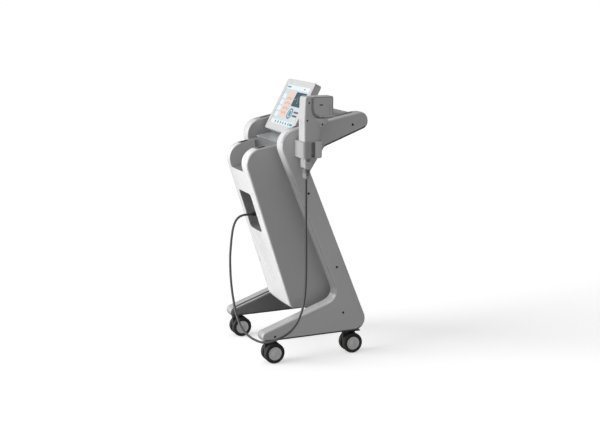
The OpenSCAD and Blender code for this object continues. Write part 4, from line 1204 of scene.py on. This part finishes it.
@dataclass
class Casters:
    """Four twin-wheel casters, the rear ones with a pedal."""

    shop: Workshop
    cap_radius: float = 24.0
    cap_depth: float = 2.4
    cap_sides: int = 48
    cap_set: float = 0.8
    cap_round: float = 0.25
    # rings of the cap from its rim to its middle: width and rise
    cap_rings: tuple[tuple[float, float], ...] = ((2.2, 0.0), (1.2, -0.7), (9.5, -0.2), (0.8, 0.9), (5.0, 0.5))

    def build(self) -> None:
        """Dress the bodies, the tyres and the pedals and add the hub caps."""
        for end in ("front", "rear"):
            for side in Side:
                name = f"caster_{end}_{side.label}"
                self.shop.skin(name, name, Paint.CASTER, 0.6)
                for place, facing in (("outer", side.value), ("inner", -side.value)):
                    self.wheel(f"wheel_{end}_{side.label}_{place}", facing)
                if end == "rear":
                    pedal = f"brake_pedal_{side.label}"
                    self.shop.skin(pedal, pedal, Paint.CASTER, 0.5)

    def wheel(self, name: str, facing: int) -> None:
        """Dress one wheel and set a cap in its dish.

        Args:
            name: Name of the wheel's solid and body.
            facing: Sign along X of the side that shows.
        """
        self.shop.skin(name, name, Paint.TYRE, 0.4, angle=40.0)
        low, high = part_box(name)
        middle = (low + high) / 2
        face = high.x if facing > 0 else low.x
        Bench.clear()
        bpy.ops.mesh.primitive_cylinder_add(
            vertices=self.cap_sides, radius=self.cap_radius * MM, depth=self.cap_depth * MM,
            rotation=(0, facing * math.pi / 2, 0), location=(face - facing * self.cap_set * MM, middle.y, middle.z),
        )
        cap = Bench.active()
        Bench.settle(cap)
        Bench.edit(cap)
        Bench.faces(cap, lambda c, n: n.x * facing > SQUARE)
        for width, rise in self.cap_rings:
            bpy.ops.mesh.inset(thickness=width * MM, depth=rise * MM)
        Bench.leave()
        Bench.bevel(cap, self.cap_round * MM, 2, 25.0)
        Bench.smooth(cap, 30.0)
        cap.name = f"{name}_cap"
        self.shop.finish(cap, name, Paint.HUB)


@dataclass(frozen=True)
class Glow:
    """A lit colour of the display.

    Args:
        name: Name of the material.
        colour: Linear colour.
        strength: Strength of its own light.
        cells: Patches of tone per metre.
        tones: Least and greatest tone, as shares of the colour.
        unlit: Share of the colour that shows without its own light.
        rough: Roughness of the glass over it.
        coat: Weight of the glass's clear coat.
    """

    name: str
    colour: Colour
    strength: float = 0.8
    cells: float = 40.0
    tones: tuple[float, float] = (0.88, 1.06)
    unlit: float = 0.2
    rough: float = 0.12
    coat: float = 0.3

    def material(self) -> bpy.types.Material:
        """Build the material, or return the one built before.

        Returns:
            The material.
        """
        found = bpy.data.materials.get(self.name)
        if found is not None:
            return found
        made, tree, shader = blank(self.name, self.colour)
        noise = tree.nodes.new("ShaderNodeTexNoise")
        preset(noise, Scale=self.cells)
        tree.links.new(tree.nodes.new("ShaderNodeTexCoord").outputs["Object"], noise.inputs["Vector"])
        dull, bright = ((*(min(1.0, share * c) for c in self.colour), 1.0) for share in self.tones)
        shade = mix(tree, noise.outputs["Fac"], dull, bright)
        dim = mix(tree, 1.0, shade, (self.unlit, self.unlit, self.unlit, 1.0), "MULTIPLY")
        wire(tree, (dim, shader.inputs["Base Color"]), (shade, shader.inputs["Emission Color"]))
        preset(shader, Emission_Strength=self.strength, Roughness=self.rough, Coat_Weight=self.coat)
        return made


class Ink:
    """Colours of the display."""

    GROUND = Glow("display_ground", (0.66, 0.74, 0.79))
    BAR = Glow("display_bar", (0.86, 0.9, 0.92))
    DEEP = Glow("display_deep", (0.03, 0.075, 0.1))
    TEAL = Glow("display_teal", (0.1, 0.36, 0.45))
    SAND = Glow("display_sand", (0.74, 0.5, 0.38))
    BLUSH = Glow("display_blush", (0.85, 0.66, 0.57))
    SLATE = Glow("display_slate", (0.1, 0.1, 0.13))
    LIME = Glow("display_lime", (0.36, 0.6, 0.33))


@dataclass
class ScreenUnit:
    """The tilting screen and what it shows."""

    shop: Workshop
    lean: float = 28.5
    reach: float = 65.0
    low_edge: float = 809.656
    face: float = 1.6
    low: float = 24.0
    width: float = 211.0
    height: float = 158.0
    film: float = 0.06
    corner_gap: float = 0.01
    corner_steps: int = 4
    disc_steps: int = 40
    strip_steps: int = 48

    def build(self) -> None:
        """Dress the case and the hinge and light the display."""
        self.shop.skin("screen_bracket", "base", Paint.GREY, 0.8, 3)
        self.shop.skin("screen_back", "screen", Paint.GREY, 1.2, 3)
        self.shop.skin("screen_bezel", "screen", Paint.WHITE, 0.5)
        self.shop.paint(frame["nodes"]["screen_panel"], Paint.DARK)
        self.light(self.shop.skin("screen_glass", "screen", Paint.DARK, 0.2), Ink.GROUND)
        self.show()

    @staticmethod
    def light(piece: Piece, ink: Glow) -> None:
        """Give a piece of the display its lit colour.

        Args:
            piece: The mesh object.
            ink: Its lit colour.
        """
        piece.data.materials.clear()
        piece.data.materials.append(ink.material())

    def place(self, piece: Piece, lift: float) -> None:
        """Lay a flat piece, drawn in the X-Y plane in millimetres, on the display.

        Args:
            piece: The flat mesh object, with its origin at the display's lower middle.
            lift: How far it stands before the glass, in millimetres.
        """
        Bench.settle(piece)
        turn = Euler((math.radians(-self.lean), 0, 0)).to_matrix().to_4x4()
        stand = Matrix.Rotation(math.radians(90), 4, "X")
        base = Matrix.Translation(at(0, -self.reach, self.low_edge))
        local = Matrix.Translation(Vector((0, self.face - lift, self.low)) * MM)
        piece.matrix_world = base @ turn @ local @ stand @ Matrix.Scale(MM, 4)
        Bench.settle(piece)

    def tile(self, x: float, y: float, w: float, h: float, r: float) -> Piece:
        """Model a flat tile with round corners.

        Args:
            x: Middle from the display's middle, in millimetres.
            y: Middle above the display's lower edge.
            w: Width.
            h: Height.
            r: Radius of the corners.

        Returns:
            The mesh object, in millimetres.
        """
        Bench.clear()
        bpy.ops.mesh.primitive_plane_add(size=1.0, location=(x, y, 0))
        tile = Bench.active()
        tile.scale = (w, h, 1)
        Bench.settle(tile)
        Bench.edit(tile, "VERT")
        bpy.ops.mesh.select_all(action="SELECT")
        largest = min(w, h) / 2 - self.corner_gap
        bpy.ops.mesh.bevel(offset=min(r, largest), segments=self.corner_steps, affect="VERTICES")
        Bench.leave()
        return tile

    def disc(self, x: float, y: float, r: float, inner: float = 0.0) -> Piece:
        """Model a disc or a ring.

        Args:
            x: Middle from the display's middle, in millimetres.
            y: Middle above the display's lower edge.
            r: Outer radius.
            inner: Inner radius, or 0 for a full disc.

        Returns:
            The mesh object, in millimetres.
        """
        Bench.clear()
        bpy.ops.mesh.primitive_circle_add(
            vertices=self.disc_steps, radius=r, fill_type="NGON", location=(x, y, 0)
        )
        disc = Bench.active()
        if inner > 0:
            Bench.edit(disc)
            bpy.ops.mesh.select_all(action="SELECT")
            bpy.ops.mesh.inset(thickness=r - inner, depth=0.0)
            bpy.ops.mesh.delete(type="FACE")
            Bench.leave()
        return disc

    def band(self, height: Callable[[float], float], x0: float, x1: float, thick: float) -> Piece:
        """Model a strip along a line over X.

        Args:
            height: Height of the line at each x, in millimetres.
            x0: Start.
            x1: End.
            thick: Width of the strip.

        Returns:
            The mesh object, in millimetres.
        """
        Bench.clear()
        bpy.ops.mesh.primitive_grid_add(x_subdivisions=self.strip_steps, y_subdivisions=1, size=1.0)
        strip = Bench.active()
        for vertex in strip.data.vertices:
            x = x0 + (vertex.co.x + 0.5) * (x1 - x0)
            vertex.co = (x, height(x) + vertex.co.y * thick, 0)
        return strip

    def lay(self, name: str, ink: Glow, lift: float, parts: Sequence[Piece]) -> None:
        """Join flat parts of one colour, lay them on the display and light them.

        Args:
            name: Name of the piece.
            ink: Its lit colour.
            lift: How far it stands before the glass, in millimetres.
            parts: The flat mesh objects.
        """
        for part in parts:
            Bench.settle(part)
        piece = Bench.join(parts, name)
        self.place(piece, lift)
        Bench.modify(piece, "film", "SOLIDIFY", thickness=self.film * MM, offset=-1.0)
        self.light(piece, ink)
        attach(piece, "screen")
        self.shop.made.append(piece.name)
        LOG.info("%s on screen", name)

    def show(self) -> None:
        """Draw a plain treatment page: bars, a depth chart, tissue layers, a dial and keys."""
        w, h = self.width, self.height
        self.lay("display_bars", Ink.BAR, 0.1, [
            self.tile(0, h - 10, w - 4, 16, 3), self.tile(0, 10, w - 4, 16, 3),
            *(self.tile(-w / 2 + 20, 38 + 24 * i, 30, 18, 3) for i in range(4)),
        ])
        self.lay("display_chart", Ink.DEEP, 0.1, [self.tile(52, 106, 92, 56, 3)])
        self.lay("display_layers", Ink.BLUSH, 0.1, [self.tile(-30, 82, 56, 104, 4)])
        self.lay("display_keys", Ink.TEAL, 0.2, [
            *(self.disc(-60 + 24 * i, 10, 5.5) for i in range(6)), self.tile(84, 10, 26, 9, 3),
            self.tile(-82, h - 10, 34, 6, 2), self.tile(60, h - 10, 12, 6, 2),
        ])
        self.lay("display_waves", Ink.SAND, 0.2, [
            self.band(lambda x, k=k: 48 + 19 * k + 3 * math.sin(x / 5.0 + k), -56, -4, 7.0) for k in range(4)
        ])
        self.lay("display_trace", Ink.LIME, 0.2, [
            self.band(lambda x: 106 + 16 * math.sin(x / 4.2) * math.exp(-((x - 52) / 22) ** 2), 10, 94, 1.6),
        ])
        self.lay("display_dial", Ink.SLATE, 0.1, [
            self.disc(30, 50, 21, 16), self.tile(78, 58, 40, 7, 2), self.tile(78, 44, 40, 7, 2),
        ])
        self.lay("display_dial_middle", Ink.TEAL, 0.1, [self.disc(30, 50, 12)])


@dataclass
class Studio:
    """Camera, lights and floor."""

    eye: Point = (3645.8, -1514.3, 1304.9)
    back: Point = (0.9026, -0.3810, 0.2004)
    lens: float = 65.35
    sensor: float = 36.0
    view_end: float = 200.0
    key: float = 1.4
    key_from: Point = (-0.17, -0.97, 0.17)
    key_spread: float = 50.0
    sky: float = 0.37
    floor_size: float = 160.0
    floor_drop: float = 0.0005
    floor_glow: float = 0.46
    floor_tones: tuple[float, float] = (0.45, 0.9)

    @staticmethod
    def aim(thing: Piece, back: Point) -> None:
        """Turn a camera or a lamp to look away from a direction."""
        thing.rotation_mode = "QUATERNION"
        thing.rotation_quaternion = (-Vector(back)).to_track_quat("-Z", "Y")

    def camera(self) -> None:
        """Set the camera where the photograph was taken."""
        data = bpy.data.cameras.new("camera")
        data.lens = self.lens
        data.sensor_width = self.sensor
        data.sensor_fit = "HORIZONTAL"
        data.clip_end = self.view_end
        camera = Bench.add("camera", data)
        camera.location = at(*self.eye)
        self.aim(camera, self.back)
        bpy.context.scene.camera = camera

    def lights(self) -> None:
        """Light the fronts most and the sides least, from a low sun and a dim sky, and show white behind."""
        data = bpy.data.lights.new("front_key", "SUN")
        data.energy = self.key * math.pi
        data.angle = math.radians(self.key_spread)
        self.aim(Bench.add("front_key", data), self.key_from)
        world = bpy.data.worlds.new("studio")
        bpy.context.scene.world = world
        world.use_nodes = True
        tree = world.node_tree
        tree.nodes.clear()
        output = tree.nodes.new("ShaderNodeOutputWorld")
        choice = tree.nodes.new("ShaderNodeMixShader")
        path = tree.nodes.new("ShaderNodeLightPath")
        tree.links.new(path.outputs["Is Camera Ray"], choice.inputs["Fac"])
        for place, strength in ((1, self.sky), (2, 1.0)):
            ground = tree.nodes.new("ShaderNodeBackground")
            preset(ground, Color=WHITE, Strength=strength)
            tree.links.new(ground.outputs["Background"], choice.inputs[place])
        tree.links.new(choice.outputs["Shader"], output.inputs["Surface"])
        view = bpy.context.scene.view_settings
        view.view_transform = "Standard"
        view.look = "None"

    def floor(self) -> None:
        """Lay the pale floor."""
        Bench.clear()
        bpy.ops.mesh.primitive_plane_add(size=self.floor_size, location=(0, 0, -self.floor_drop))
        floor = Bench.active()
        floor.name = "floor"
        material, tree, shader = blank("pale_floor", (0.8, 0.8, 0.8))
        preset(shader, Roughness=0.8, Specular_IOR_Level=0.2, Emission_Color=WHITE)
        seen = tree.nodes.new("ShaderNodeLightPath").outputs["Is Camera Ray"]
        unseen_tone, seen_tone = ((tone, tone, tone, 1.0) for tone in self.floor_tones)
        wire(
            tree,
            (mix(tree, seen, unseen_tone, seen_tone), shader.inputs["Base Color"]),
            (math_node(tree, "MULTIPLY", seen, self.floor_glow), shader.inputs["Emission Strength"]),
        )
        floor.data.materials.append(material)


def main() -> None:
    """Build the scene."""
    logging.basicConfig(level=logging.INFO, format="%(name)s: %(message)s")
    Bench.clear()
    shop = Workshop(Effects())
    studio = Studio()
    studio.camera()
    Lead(shop).build()
    for maker in (SideFrames, Pod, RearFittings, Handpiece, Casters, ScreenUnit):
        maker(shop).build()
    studio.floor()
    studio.lights()
    Bench.clear()
    LOG.info("%d pieces", len(shop.made))


if __name__ == "__main__":
    main()
